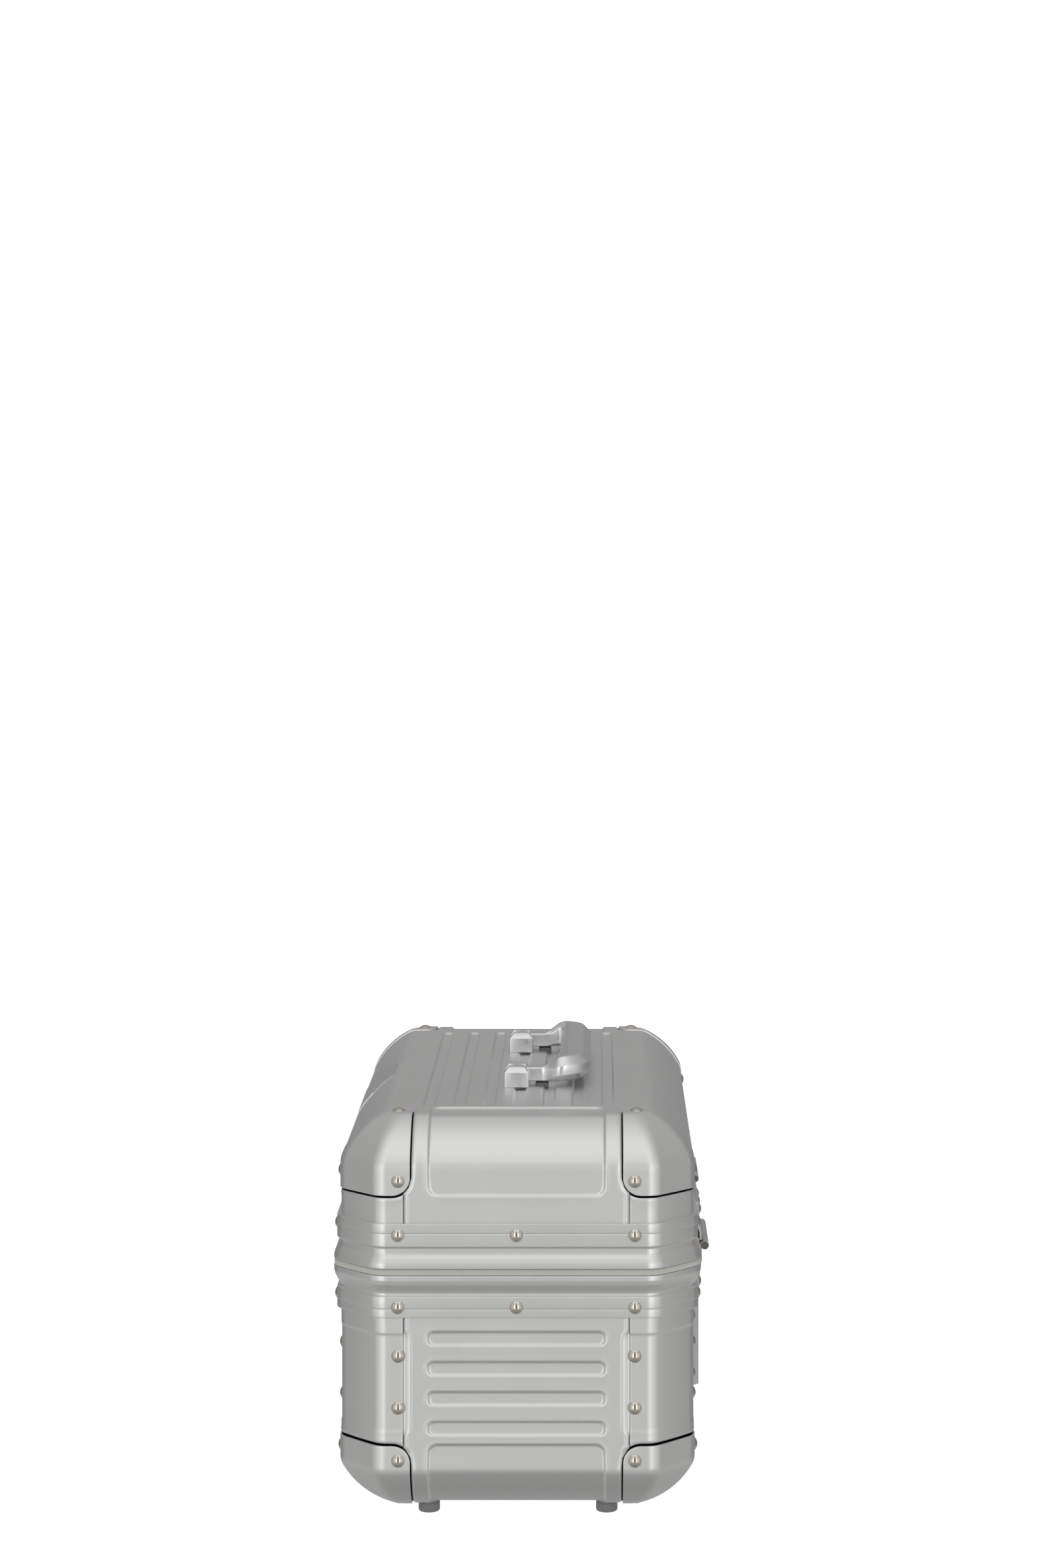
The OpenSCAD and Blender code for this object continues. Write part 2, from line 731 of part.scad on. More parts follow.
// A thin plate bent over the top front edge, left blank
module name_plate() {
    color("gainsboro") intersection() {
        skin(0.8, 0);
        translate([0, -hy, 0]) linear_extrude(far)
            polygon([[-43, -5], [43, -5], [43, 12.2], [27, 25.5], [-27, 25.5], [-43, 12.2]]);
        slab(246, far);
    }
}

// ---- handle -----------------------------------------------------------------

pivot = [1, top_z + pivot_up];      // Y and Z of the handle's pivot line
pin_end = 1;                        // depth left solid outside the pin in the outer block
side_gap = 0.3;
outer_x = handle_l / 2;
arm_x = outer_x - block_t - side_gap - arm_t;
inner_x = arm_x - side_gap - block_t;
block_screw_y = -6.5;
block_y = [-11.6, 5.7];             // front and back of a block
block_h = 14.2;
block_chamfer = [2.8, 3.8];         // along Y and Z

module at_block_screws() {
    for (s = [-1, 1], x = [inner_x + block_t / 2, outer_x - block_t / 2])
        translate([s * x, block_screw_y, top_z]) children();
}

module handle_pin_bore(s, extra) {
    translate([s * (inner_x - lens), pivot[0], pivot[1]]) rotate([0, s * 90, 0])
        cylinder(h = outer_x - pin_end - inner_x + lens, r = handle_pin_r + extra, $fn = 48);
}

module handle_block(s, x) {
    color("lightgray") difference() {
        translate([s > 0 ? x : -x - block_t, 0, top_z]) rotate([90, 0, 90]) linear_extrude(block_t)
            polygon([[block_y[0], 0], [block_y[1], 0], [block_y[1], block_h - block_chamfer[1]],
                [block_y[1] - block_chamfer[0], block_h], [block_y[0] + block_chamfer[0], block_h],
                [block_y[0], block_h - block_chamfer[1]]]);
        handle_pin_bore(s, 0.02);
        at_block_screws() cylinder(h = 9, r = 1.52, $fn = 32);
    }
}

module handle_pin(s) {
    color("gainsboro") translate([s * inner_x, pivot[0], pivot[1]]) rotate([0, s * 90, 0])
        cylinder(h = outer_x - pin_end - inner_x - fit, r = handle_pin_r, $fn = 48);
}

grip_y = [27, 49];
grip_z = [top_z + 4, top_z + 21];

module handle_grip() {
    arm_low = pivot[1] - 5.2;
    arm_high = pivot[1] + 4.6;
    cut = 5.5;
    bar = [[grip_y[0], grip_z[0] + cut], [grip_y[0] + cut, grip_z[0]], [grip_y[1] - cut, grip_z[0]],
        [grip_y[1], grip_z[0] + cut], [grip_y[1], grip_z[1] - cut], [grip_y[1] - cut, grip_z[1]],
        [grip_y[0] + cut, grip_z[1]], [grip_y[0], grip_z[1] - cut]];
    color("silver") difference() {
        union() {
            for (s = [-1, 1]) translate([s > 0 ? arm_x : -arm_x - arm_t, 0, 0]) {
                translate([0, pivot[0], pivot[1]]) rotate([0, 90, 0]) cylinder(h = arm_t, r = 6.2, $fn = 48);
                rotate([90, 0, 90]) linear_extrude(arm_t)
                    polygon([[pivot[0], arm_low], [31, arm_low], [37, grip_z[0]], [37, grip_z[1] - 1],
                        [31, grip_z[1] - 2], [24, arm_high + 1], [pivot[0], arm_high]]);
            }
            difference() {
                translate([-outer_x, 0, 0]) rotate([90, 0, 90]) linear_extrude(handle_l) polygon(bar);
                for (s = [-1, 1]) translate([s * outer_x, grip_y[1], 0]) rotate([0, 0, 45])
                    cube([14, 14, 2 * far], center = true);
            }
        }
        for (s = [-1, 1]) handle_pin_bore(s, fit);
    }
}

plate_drop = 4.8;                   // from the lid's top to the underside of the plate
plate_size = [handle_l + 8, 32, 1.4];

// The reinforcement under the lid's top that the screws of the blocks pull against
module handle_plate() {
    color("gray") difference() {
        translate([-plate_size[0] / 2, -plate_size[1] / 2, top_z - plate_drop]) cube(plate_size);
        at_block_screws() translate([0, 0, -10]) cylinder(h = 12, r = 1.55, $fn = 32);
    }
}

module handle_screws() {
    head_h = 0.6;
    color("gainsboro") at_block_screws() {
        translate([0, 0, -plate_drop - head_h]) cylinder(h = head_h, r = 2.9, $fn = 32);
        translate([0, 0, -plate_drop - head_h / 2]) cylinder(h = 12, r = 1.5, $fn = 32);
    }
}

// ---- nodes ------------------------------------------------------------------

base_shell();
base_guard(-1, -1);  // base_guard_front_left
base_guard(1, -1);  // base_guard_front_right
base_guard(-1, 1);  // base_guard_back_left
base_guard(1, 1);  // base_guard_back_right
base_cap(-1, -1);  // base_cap_front_left
base_cap(1, -1);  // base_cap_front_right
base_cap(-1, 1);  // base_cap_back_left
base_cap(1, 1);  // base_cap_back_right
base_frame();
gasket();
base_rivets();
feet();
foot_screws();
base_lining();
hinge_base_leaf(-1);  // hinge_base_leaf_left
hinge_base_leaf(1);  // hinge_base_leaf_right
hinge_pin(-1);  // hinge_pin_left
hinge_pin(1);  // hinge_pin_right
hinge_base_rivets();
lock_housing();
dial_axle();
trolley_sleeve();
sleeve_rivets();
lid_shell();
lid_guards();
lid_cap(-1, -1);  // lid_cap_front_left
lid_cap(1, -1);  // lid_cap_front_right
lid_cap(-1, 1);  // lid_cap_back_left
lid_cap(1, 1);  // lid_cap_back_right
lid_frame();
lid_rivets();
lid_lining();
hinge_lid_leaf(-1);  // hinge_lid_leaf_left
hinge_lid_leaf(1);  // hinge_lid_leaf_right
hinge_lid_rivets();
lock_hasp();
hasp_rivets();
name_plate();
handle_block(-1, outer_x - block_t);  // handle_block_left_outer
handle_block(-1, inner_x);  // handle_block_left_inner
handle_block(1, inner_x);  // handle_block_right_inner
handle_block(1, outer_x - block_t);  // handle_block_right_outer
handle_pin(-1);  // handle_pin_left
handle_pin(1);  // handle_pin_right
handle_plate();
handle_screws();
handle_grip();
lock_slide();
dial(-1);  // dial_1
dial(0);  // dial_2
dial(1);  // dial_3
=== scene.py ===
import json
import bpy
import bmesh
import numpy as np
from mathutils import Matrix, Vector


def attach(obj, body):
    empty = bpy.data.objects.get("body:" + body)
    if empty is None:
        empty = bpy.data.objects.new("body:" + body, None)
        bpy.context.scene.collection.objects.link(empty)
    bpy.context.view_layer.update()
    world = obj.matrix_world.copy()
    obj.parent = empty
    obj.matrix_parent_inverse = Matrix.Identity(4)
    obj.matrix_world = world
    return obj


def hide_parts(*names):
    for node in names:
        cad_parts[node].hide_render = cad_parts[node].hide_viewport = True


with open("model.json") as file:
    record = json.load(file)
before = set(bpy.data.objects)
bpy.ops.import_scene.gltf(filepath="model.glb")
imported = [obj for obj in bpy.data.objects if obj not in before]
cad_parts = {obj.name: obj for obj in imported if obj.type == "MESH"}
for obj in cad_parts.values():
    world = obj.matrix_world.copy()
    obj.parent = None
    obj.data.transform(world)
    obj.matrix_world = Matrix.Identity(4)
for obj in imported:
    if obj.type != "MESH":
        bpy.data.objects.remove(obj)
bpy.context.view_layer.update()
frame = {"nodes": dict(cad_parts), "record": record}

# ---- The studio -------------------------------------------------------------------
# The case stands on a plain white table in a pale room. Two tall soft boxes stand left and
# right of the camera, a broad weak one hangs above, and the rest of the room is dim.
MM = 0.001
hx, hy = 210.0, 118.5                  # half length and half depth over the shells
top_z, bottom_z = 271.0, 9.4
hz, mid_z = (top_z - bottom_z) / 2, (top_z + bottom_z) / 2

bpy.context.scene.view_settings.view_transform = "Standard"
camera = bpy.data.objects.new("camera", bpy.data.cameras.new("camera"))
camera.location = ((hx + 2168) * MM, 51.8 * MM, 686 * MM)
camera.rotation_euler = (np.pi / 2, 0, np.pi / 2)
camera.data.lens = 75.1
camera.data.shift_x = -0.0463
camera.data.shift_y = -0.1838
bpy.context.scene.collection.objects.link(camera)
bpy.context.scene.camera = camera


def soft_box(name, place, target, size, power):
    """An area light at place that faces target; size is its width and height in metres."""
    data = bpy.data.lights.new(name, "AREA")
    data.shape = "RECTANGLE"
    data.size, data.size_y = size
    data.energy = power
    lamp = bpy.data.objects.new(name, data)
    lamp.location = place
    aim = Vector(target) - Vector(place)
    lamp.rotation_euler = aim.to_track_quat("-Z", "Y").to_euler()
    bpy.context.scene.collection.objects.link(lamp)


soft_box("box_above", (0.9, 0, 2.0), (0, 0, 0.2), (2.4, 1.6), 3)


class Wire:
    """One output socket of a node. Arithmetic on it adds Math nodes."""

    def __init__(self, paint, socket):
        self.paint, self.socket = paint, socket

    def _math(self, operation, first, second, clamp=False):
        return self.paint.node("ShaderNodeMath", dict(operation=operation, use_clamp=clamp),
                               {0: first, 1: second})

    def __add__(self, other): return self._math("ADD", self, other)
    def __radd__(self, other): return self._math("ADD", other, self)
    def __sub__(self, other): return self._math("SUBTRACT", self, other)
    def __rsub__(self, other): return self._math("SUBTRACT", other, self)
    def __mul__(self, other): return self._math("MULTIPLY", self, other)
    def __rmul__(self, other): return self._math("MULTIPLY", other, self)
    def clamp(self): return self._math("ADD", self, 0.0, True)


class Paint:
    """A node tree that is filled by calls of node()."""

    def __init__(self, tree):
        self.tree = tree
        tree.nodes.clear()

    def node(self, kind, settings=None, sockets=None, out=0):
        """Adds a node, applies its settings, then sets or links its input sockets."""
        made = self.tree.nodes.new(kind)
        for key, value in (settings or {}).items():
            if key == "stops":
                ramp = made.color_ramp
                for i, (place, colour) in enumerate(value):
                    stop = ramp.elements[i] if i < 2 else ramp.elements.new(place)
                    stop.position = place
                    stop.color = (*colour, 1)
            else:
                setattr(made, key, value)
        for key, value in (sockets or {}).items():
            if isinstance(value, Wire):
                self.tree.links.new(value.socket, made.inputs[key])
            else:
                made.inputs[key].default_value = value
        return Wire(self, made.outputs[out]) if len(made.outputs) else None


def new_finish(name):
    """An empty material, its node tree to paint on, and the wire of an object's own places."""
    made = bpy.data.materials.new(name)
    made.use_nodes = True
    p = Paint(made.node_tree)
    return made, p, p.node("ShaderNodeTexCoord", None, None, 3)


world = bpy.data.worlds.new("studio")
bpy.context.scene.world = world
world.use_nodes = True
room = Paint(world.node_tree)
direction = room.node("ShaderNodeTexCoord")
ahead = room.node("ShaderNodeSeparateXYZ", None, {0: direction})
across = Wire(room, ahead.socket.node.outputs[1])
up = Wire(room, ahead.socket.node.outputs[2]) * 0.5 + 0.5
turn = room.node("ShaderNodeMath", dict(operation="ARCTAN2"), {0: across, 1: ahead})
turn = room.node("ShaderNodeMath", dict(operation="ABSOLUTE"), {0: turn}) * (1 / np.pi)


def greys(where, *stops):
    """A ramp of greys, given as (place, level)."""
    return room.node("ShaderNodeValToRGB", dict(stops=[(a, (v, v, v)) for a, v in stops]), {0: where})


# The soft boxes by the angle away from the camera, the room's own grey by height, and how far
# up and down the boxes reach.
boxes = greys(turn, (0.0, 0.12), (0.028, 0.12), (0.05, 0.38), (0.075, 0.38), (0.095, 1.40), (0.15, 1.40),
              (0.18, 0.66), (0.34, 0.52), (0.50, 0.26), (0.66, 0.16), (1.0, 0.23))
walls = greys(up, (0.0, 0.22), (0.12, 0.30), (0.25, 0.38), (0.40, 0.40), (0.60, 0.36),
              (0.80, 0.42), (0.93, 0.48), (1.0, 0.48))
reach = greys(up, (0.0, 0.0), (0.27, 0.0), (0.34, 1.0), (0.62, 1.0), (0.80, 0.50),
              (0.93, 0.40), (1.0, 0.0))
grey = room.node("ShaderNodeMix", dict(data_type="RGBA"), {0: reach, 6: walls, 7: boxes}, out=2)
seen = room.node("ShaderNodeLightPath")
dim = room.node("ShaderNodeBackground", None, {0: grey, 1: 1.35})
white = room.node("ShaderNodeBackground", None, {0: (1, 1, 1, 1), 1: 1.05})
room.node("ShaderNodeOutputWorld", None,
          {0: room.node("ShaderNodeMixShader", None, {0: seen, 1: dim, 2: white})})


def link_mesh(name, points, faces, attributes=None, sharp=35):
    """A smooth-shaded object from points in millimetres and faces; edges that turn by more
    than sharp degrees stay crisp. Attributes are one value for each point."""
    mesh = bpy.data.meshes.new(name)
    mesh.from_pydata((points * MM).tolist(), [], faces.tolist())
    for key, values in (attributes or {}).items():
        mesh.attributes.new(key, "FLOAT", "POINT").data.foreach_set("value", values.astype(np.float32))
    mesh.polygons.foreach_set("use_smooth", np.ones(len(mesh.polygons), bool))
    mesh.set_sharp_from_angle(angle=np.radians(sharp))
    obj = bpy.data.objects.new(name, mesh)
    bpy.context.scene.collection.objects.link(obj)
    return obj


def floor_points():
    """A flat square of a few metres at z = 0."""
    a = np.linspace(-9000, 9000, 5)
    x, y = np.meshgrid(a, a, indexing="ij")
    return np.stack([x, y, 0 * x], -1)


def grid_faces(rows, columns, wrap_rows=False, wrap_columns=False):
    """Quads of a grid of points, rows by columns, closed round either way if it wraps."""
    i, j = np.meshgrid(np.arange(rows if wrap_rows else rows - 1),
                       np.arange(columns if wrap_columns else columns - 1), indexing="ij")
    i, j = i.ravel(), j.ravel()
    ni, nj = (i + 1) % rows, (j + 1) % columns
    return np.stack([i * columns + j, ni * columns + j, ni * columns + nj, i * columns + nj], 1)


floor = link_mesh("floor", floor_points().reshape(-1, 3), grid_faces(5, 5))
floor.visible_glossy = False
table, cloth, place = new_finish("table_white")
grain = cloth.node("ShaderNodeTexNoise", None, {"Vector": place, "Scale": 40.0})
cloth.node("ShaderNodeOutputMaterial", None, {0: cloth.node("ShaderNodeBsdfPrincipled", None, {
    "Base Color": cloth.node("ShaderNodeMix", dict(data_type="RGBA"), {
        0: grain, 6: (0.90, 0.90, 0.90, 1), 7: (0.93, 0.93, 0.93, 1)}, out=2),
    "Roughness": 0.9, "Emission Color": (1, 1, 1, 1), "Emission Strength": 0.85})})
floor.data.materials.append(table)


# ---- Finishes of the sheet and the frames -----------------------------------------
# Blasted and anodised aluminium: an even pale grey with a fine grain, softly cloudy, and
# painted near black in the narrow gaps between two sheets, as painted shade in the gap.
def satin(name, colour, rough, grain=1.0, seam=False, streaks=False):
    """Metal with fine blasting grain. On sheets, a point attribute that gives the distance from
    the gaps between sheets paints shade near black into them; on milled parts, fine level lines vary the
    gloss."""
    made, p, place = new_finish(name)
    cloud = p.node("ShaderNodeTexNoise", None, {"Vector": place, "Scale": 14.0, "Detail": 3.0})
    speck = p.node("ShaderNodeTexNoise", None, {"Vector": place, "Scale": 1700.0, "Detail": 2.0})
    level = 0.94 + cloud * 0.04 + speck * 0.06 * grain
    dark = p.node("ShaderNodeMix", dict(data_type="RGBA", blend_type="MULTIPLY"), {
        0: 1.0, 6: (*colour, 1), 7: level}, out=2)
    # Painted shade: the colour turns near black where the attribute says a gap between sheets is close.
    if seam:
        gap = p.node("ShaderNodeAttribute", dict(attribute_name="seam"), None, 2)
        gap_shade_mask = ((1.1 - gap) * 5.0).clamp()
        dark = p.node("ShaderNodeMix", dict(data_type="RGBA"), {
            0: gap_shade_mask, 6: dark, 7: (0.006, 0.006, 0.006, 1)}, out=2)
    bump = p.node("ShaderNodeBump", None, {
        "Strength": 0.18 * grain, "Distance": 0.00004, "Height": speck})
    gloss = rough + (cloud - 0.5) * 0.06
    if streaks:
        stretched = p.node("ShaderNodeMapping", None, {0: place, 3: (60.0, 60.0, 2600.0)})
        lines = p.node("ShaderNodeTexNoise", None, {"Vector": stretched, "Scale": 1.0})
        gloss = gloss + (lines - 0.5) * 0.07
    p.node("ShaderNodeOutputMaterial", None, {0: p.node("ShaderNodeBsdfPrincipled", None, {
        "Base Color": dark, "Metallic": 1.0, "Roughness": gloss, "Normal": bump})})
    return made


sheet_finish = satin("satin_sheet", (0.80, 0.80, 0.79), 0.42, seam=True)
frame_finish = satin("satin_frame", (0.81, 0.81, 0.80), 0.38, 0.6)


# ---- Shape of the case ------------------------------------------------------------
# The walls, the pressed rounds along the edges and the nearly flat facets of the upright
# corners. Each round is an arc, a flatter arc and the first arc again.
edge_r, edge_mid_r, edge_turn = 13.0, 60.0, np.radians(28)
bend_r, facet_r, bend_turn = 13.0, 240.0, np.radians(41.5)


def cut_of(r, mid, turn):
    """How far a rounded corner reaches along each of its faces."""
    return r + (mid - r) * (np.cos(turn) - np.sin(turn))


edge_cut, plan_cut = cut_of(edge_r, edge_mid_r, edge_turn), cut_of(bend_r, facet_r, bend_turn)


def round_distance(a, b):
    """Distance out of the rounded edge between the faces a = 0 and b = 0: away from the edge
    it is a or b, and within it the distance from the centre of the nearest arc less its radius."""
    c1 = np.array([-edge_r, -edge_cut])
    c2 = c1 - (edge_mid_r - edge_r) * np.array([np.cos(edge_turn), np.sin(edge_turn)])
    angle = np.arctan2(b - c2[1], a - c2[0])
    low = np.hypot(a - c1[0], b - c1[1]) - edge_r
    middle = np.hypot(a - c2[0], b - c2[1]) - edge_mid_r
    high = np.hypot(a - c1[1], b - c1[0]) - edge_r
    d = np.where(angle < edge_turn, low, np.where(angle > np.pi / 2 - edge_turn, high, middle))
    return np.where((a < -edge_cut) & (b < -edge_cut), np.maximum(a, b),
                    np.where(b < -edge_cut, a, np.where(a < -edge_cut, b, d)))


facet_reach = facet_r + (hx + hy - bend_r - plan_cut
                         - (facet_r - bend_r) * (np.cos(bend_turn) + np.sin(bend_turn))) / np.sqrt(2)


def plan_level(x, y):
    """How far a point lies out of the plan outline. Two walls and a facet, shrunk together by
    that distance, keep the same bend radius between them; in each bend the distance is the
    root of |point - centre of the bend at that level| = bend radius."""
    x, y = np.abs(x), np.abs(y)
    k = np.sqrt(2) * (facet_reach - bend_r)
    level = np.minimum(np.minimum(hx - x, hy - y), facet_reach - (x + y) / np.sqrt(2))
    for c, m in (((hx - bend_r, k - hx + bend_r), (1, np.sqrt(2) - 1)),
                 ((k - hy + bend_r, hy - bend_r), (np.sqrt(2) - 1, 1))):
        qx, qy = x - c[0], y - c[1]
        dot, mm = qx * m[0] + qy * m[1], m[0] ** 2 + m[1] ** 2
        root = dot * dot - mm * (qx * qx + qy * qy - bend_r ** 2)
        d = (-dot + np.sqrt(np.maximum(root, 0))) / mm
        vx, vy = qx + d * m[0], qy + d * m[1]
        along, across = (vx, vy) if m[0] == 1 else (vy, vx)
        level = np.where((root > 0) & (across >= 0) & (across <= along), d, level)
    return -level


def case_distance(p):
    """How far points lie out of the whole rounded case."""
    return round_distance(plan_level(p[..., 0], p[..., 1]), np.abs(p[..., 2] - mid_z) - hz)


def cross_section(s):
    """A point of the section over an edge, by its distance s along it: up the wall for s < 0,
    over the three arcs, then along the flat. Gives the inset from the wall, the depth below
    the flat, and the outward normal."""
    turn, half = edge_turn, np.pi / 2
    ends = np.cumsum([edge_r * turn, edge_mid_r * (half - 2 * turn), edge_r * turn])
    a = np.clip(s / edge_r, 0, turn) + np.clip((s - ends[0]) / edge_mid_r, 0, half - 2 * turn) \
        + np.clip((s - ends[1]) / edge_r, 0, turn)
    c1 = np.array([edge_r, edge_cut])
    c2 = c1 + (edge_mid_r - edge_r) * np.array([np.cos(turn), np.sin(turn)])
    r = np.where((a <= turn) | (a >= half - turn), edge_r, edge_mid_r)
    cx = np.where(a <= turn, c1[0], np.where(a >= half - turn, c1[1], c2[0]))
    cz = np.where(a <= turn, c1[1], np.where(a >= half - turn, c1[0], c2[1]))
    inset = cx - r * np.cos(a) + np.maximum(s - ends[2], 0)
    depth = cz - r * np.sin(a) + np.maximum(-s, 0)
    return inset, depth, np.cos(a), np.sin(a), ends[2]


cap_reach, base_cap_z, lid_cap_z, cap_corner = 47.7, 56.0, 222.0, 12.0


def cap_distance(p):
    """How far a point on the case lies outside the nearest corner cap's rounded outline."""
    r = cap_corner
    z = np.where(p[..., 2] < mid_z, p[..., 2] - base_cap_z, lid_cap_z - p[..., 2])
    g = np.stack([hx - cap_reach - np.abs(p[..., 0]), hy - cap_reach - np.abs(p[..., 1]), z], -1) + r
    return np.minimum(g.max(-1), 0) + np.sqrt((np.maximum(g, 0) ** 2).sum(-1)) - r


def ease(t):
    """A soft step from 0 to 1."""
    t = np.clip(t, 0, 1)
    return t * t * (3 - 2 * t)


def stadium(u, v, half_l, half_w):
    """Distance outside a slot with round ends."""
    return np.hypot(np.maximum(np.abs(u) - half_l + half_w, 0), v) - half_w


def soft_box_distance(u, v, half_u, half_v, r):
    """Distance outside a rectangle with rounded corners."""
    a, b = np.abs(u) - half_u + r, np.abs(v) - half_v + r
    return np.minimum(np.maximum(a, b), 0) + np.hypot(np.maximum(a, 0), np.maximum(b, 0)) - r


def marks(low, high, coarse, fine, *places):
    """Sample places from low to high: coarse ones, with fine ones about each given place."""
    parts = [np.linspace(low, high, max(2, int(round((high - low) / coarse)) + 1))]
    for place, reach in places:
        parts.append(np.arange(place - reach, place + reach + fine / 2, fine))
    a = np.unique(np.round(np.concatenate(parts), 3))
    a = a[(a >= low) & (a <= high)]
    keep = np.concatenate([[True], np.diff(a) > fine * 0.45])
    a = a[keep]
    a[-1] = high
    return a


no_gap_shade = 9.0           # a distance far from any gap, where no shade is painted


class Sheet:
    """Collects grids of points, turned so that their faces look along the given normals."""

    def __init__(self):
        self.points, self.faces, self.seam, self.count = [], [], [], 0

    # Each grid also carries, for each point, its distance from a gap between sheets; the finish paints shade
    # near black where it is small.
    def add(self, p, normal, seam=None, wrap_rows=False, wrap_columns=False):
        rows, columns = p.shape[:2]
        f = grid_faces(rows, columns, wrap_rows, wrap_columns)
        q, n = p.reshape(-1, 3), np.broadcast_to(normal, p.shape).reshape(-1, 3)
        cross = np.cross(q[f[:, 2]] - q[f[:, 0]], q[f[:, 3]] - q[f[:, 1]])
        if (cross * n[f[:, 0]]).sum() < 0:
            f = f[:, ::-1]
        self.points.append(q)
        self.faces.append(f + self.count)
        self.seam.append(np.broadcast_to(no_gap_shade if seam is None else seam, p.shape[:2]).ravel())
        self.count += len(q)

    def build(self, name, material, body, slot, *nodes, thick=0.0, sharp=35):
        """Makes the piece: welds equal points, gives it its finish and thickness, and says which
        body it rides on and which nodes it stands for."""
        # The gap distances go onto the mesh as the attribute that paints the shade in the gaps.
        obj = link_mesh(name, np.concatenate(self.points), np.concatenate(self.faces),
                        dict(seam=np.concatenate(self.seam)), sharp)
        weld = bmesh.new()
        weld.from_mesh(obj.data)
        bmesh.ops.remove_doubles(weld, verts=weld.verts, dist=1e-6)
        weld.to_mesh(obj.data)
        weld.free()
        obj.data.set_sharp_from_angle(angle=np.radians(sharp))
        obj.data.materials.append(material)
        if thick:
            skin = obj.modifiers.new("thickness", "SOLIDIFY")
            skin.thickness, skin.offset = thick * MM, -1
        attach(obj, body)
        if nodes:
            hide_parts(*nodes)
        return obj


# ---- Base shell and lid shell -----------------------------------------------------
# Each is one pressed sheet. Long ribs stiffen its walls and the lid's top, a large pad is
# pressed round the edge of each end, and the sheet steps down to pass under the guards and caps.
guard_reach = 43.2
rib_depth, rib_half_w, rib_inset, rib_wall = 1.7, 5.4, 58.5, 2.3
pad_depth, pad_half_w, pad_wall = 1.5, 59.6, 2.2
pad_runs = {True: 34.8, False: 54.6}       # in from the end along the bottom, and along the top
flat_y, flat_x = 78.0, hx - 56.5           # borders between the walls' sheet and the flats
end_rib_z = 67.5 + 19.9 * np.arange(4)
top_rib_y, top_rib_half_l, top_rib_half_w = 20.3 * np.arange(-3, 4), hx - 57, 4.75


def step_down(p, edge):
    """The sheet's step under a guard, edge away, and under a cap: a narrow valley by the
    guard's ends, wider along its middle, with a slight swell outside it."""
    is_base = p[..., 2] < mid_z
    narrow = 1 - ease((p[..., 2] - 62) / 5) * ease((133 - p[..., 2]) / 5)
    width = np.where(is_base, 4.3 - 2.4 * narrow, 2.2)
    cap = cap_distance(p)
    guard = np.where(np.abs(p[..., 2] - mid_z) < hz - edge_cut + 22, edge, 50.0)
    a, b = guard / width, cap / 2.9
    drop = np.maximum(ease(1 - a), ease(1 - b))
    near = np.minimum(guard - width, cap - 2.9)
    swell = 0.22 * np.exp(-((near - 0.9) / 0.9) ** 2)
    # The second value is the distance from the gaps at the guard's edge and the cap's edge; the finish
    # paints shade near black within about a millimetre of them.
    return -1.3 * drop + swell * (1 - drop), np.minimum(guard / 0.3, cap / 1.15)


def rim_swell(d):
    """The slight swell of the sheet just outside a pressing, a bell curve of the distance d."""
    return 0.12 * np.exp(-((d - 0.7) / 0.8) ** 2)


def wall(sheet, along, s, side, low, ribs, pad):
    """A wall with its round and the start of the flat. The section over the edge is carried
    along the wall; side is +1 or -1, low is True for the base, ribs gives the height of the
    ribs from the wall's foot, and pad the height at which the pad starts."""
    u, t = np.meshgrid(along, s, indexing="ij")
    inset, depth, n_out, n_up, _ = cross_section(t)
    is_end = pad is not None
    half = hx if is_end else hy
    out = half - inset
    z = bottom_z + depth if low else top_z - depth
    nz = -n_up if low else n_up
    base = np.stack([side * out, u, z] if is_end else [u, side * out, z], -1)
    normal = np.stack([side * n_out, 0 * u, nz] if is_end else [0 * u, side * n_out, nz], -1)
    reach = (hy if is_end else hx) - guard_reach
    h, seam = step_down(base, reach - np.abs(u))
    for rib_z in ribs:
        d = stadium(u, z - rib_z, (hy if is_end else hx) - rib_inset, rib_half_w)
        h = h - rib_depth * ease(-d / rib_wall) * (t < 0) + rim_swell(d) * (t < 5)
    if is_end:
        s_low = edge_cut + pad                    # start of the pad, along the section
        s_high = cross_section(np.zeros(1))[4] + pad_runs[low] - edge_cut
        middle, half_s = (s_high - s_low) / 2, (s_high + s_low) / 2
        d = soft_box_distance(u, t - middle, pad_half_w, half_s, 7.5)
        h = h - pad_depth * ease(-d / pad_wall) + rim_swell(d)
    sheet.add(base + normal * h[..., None], normal, seam)


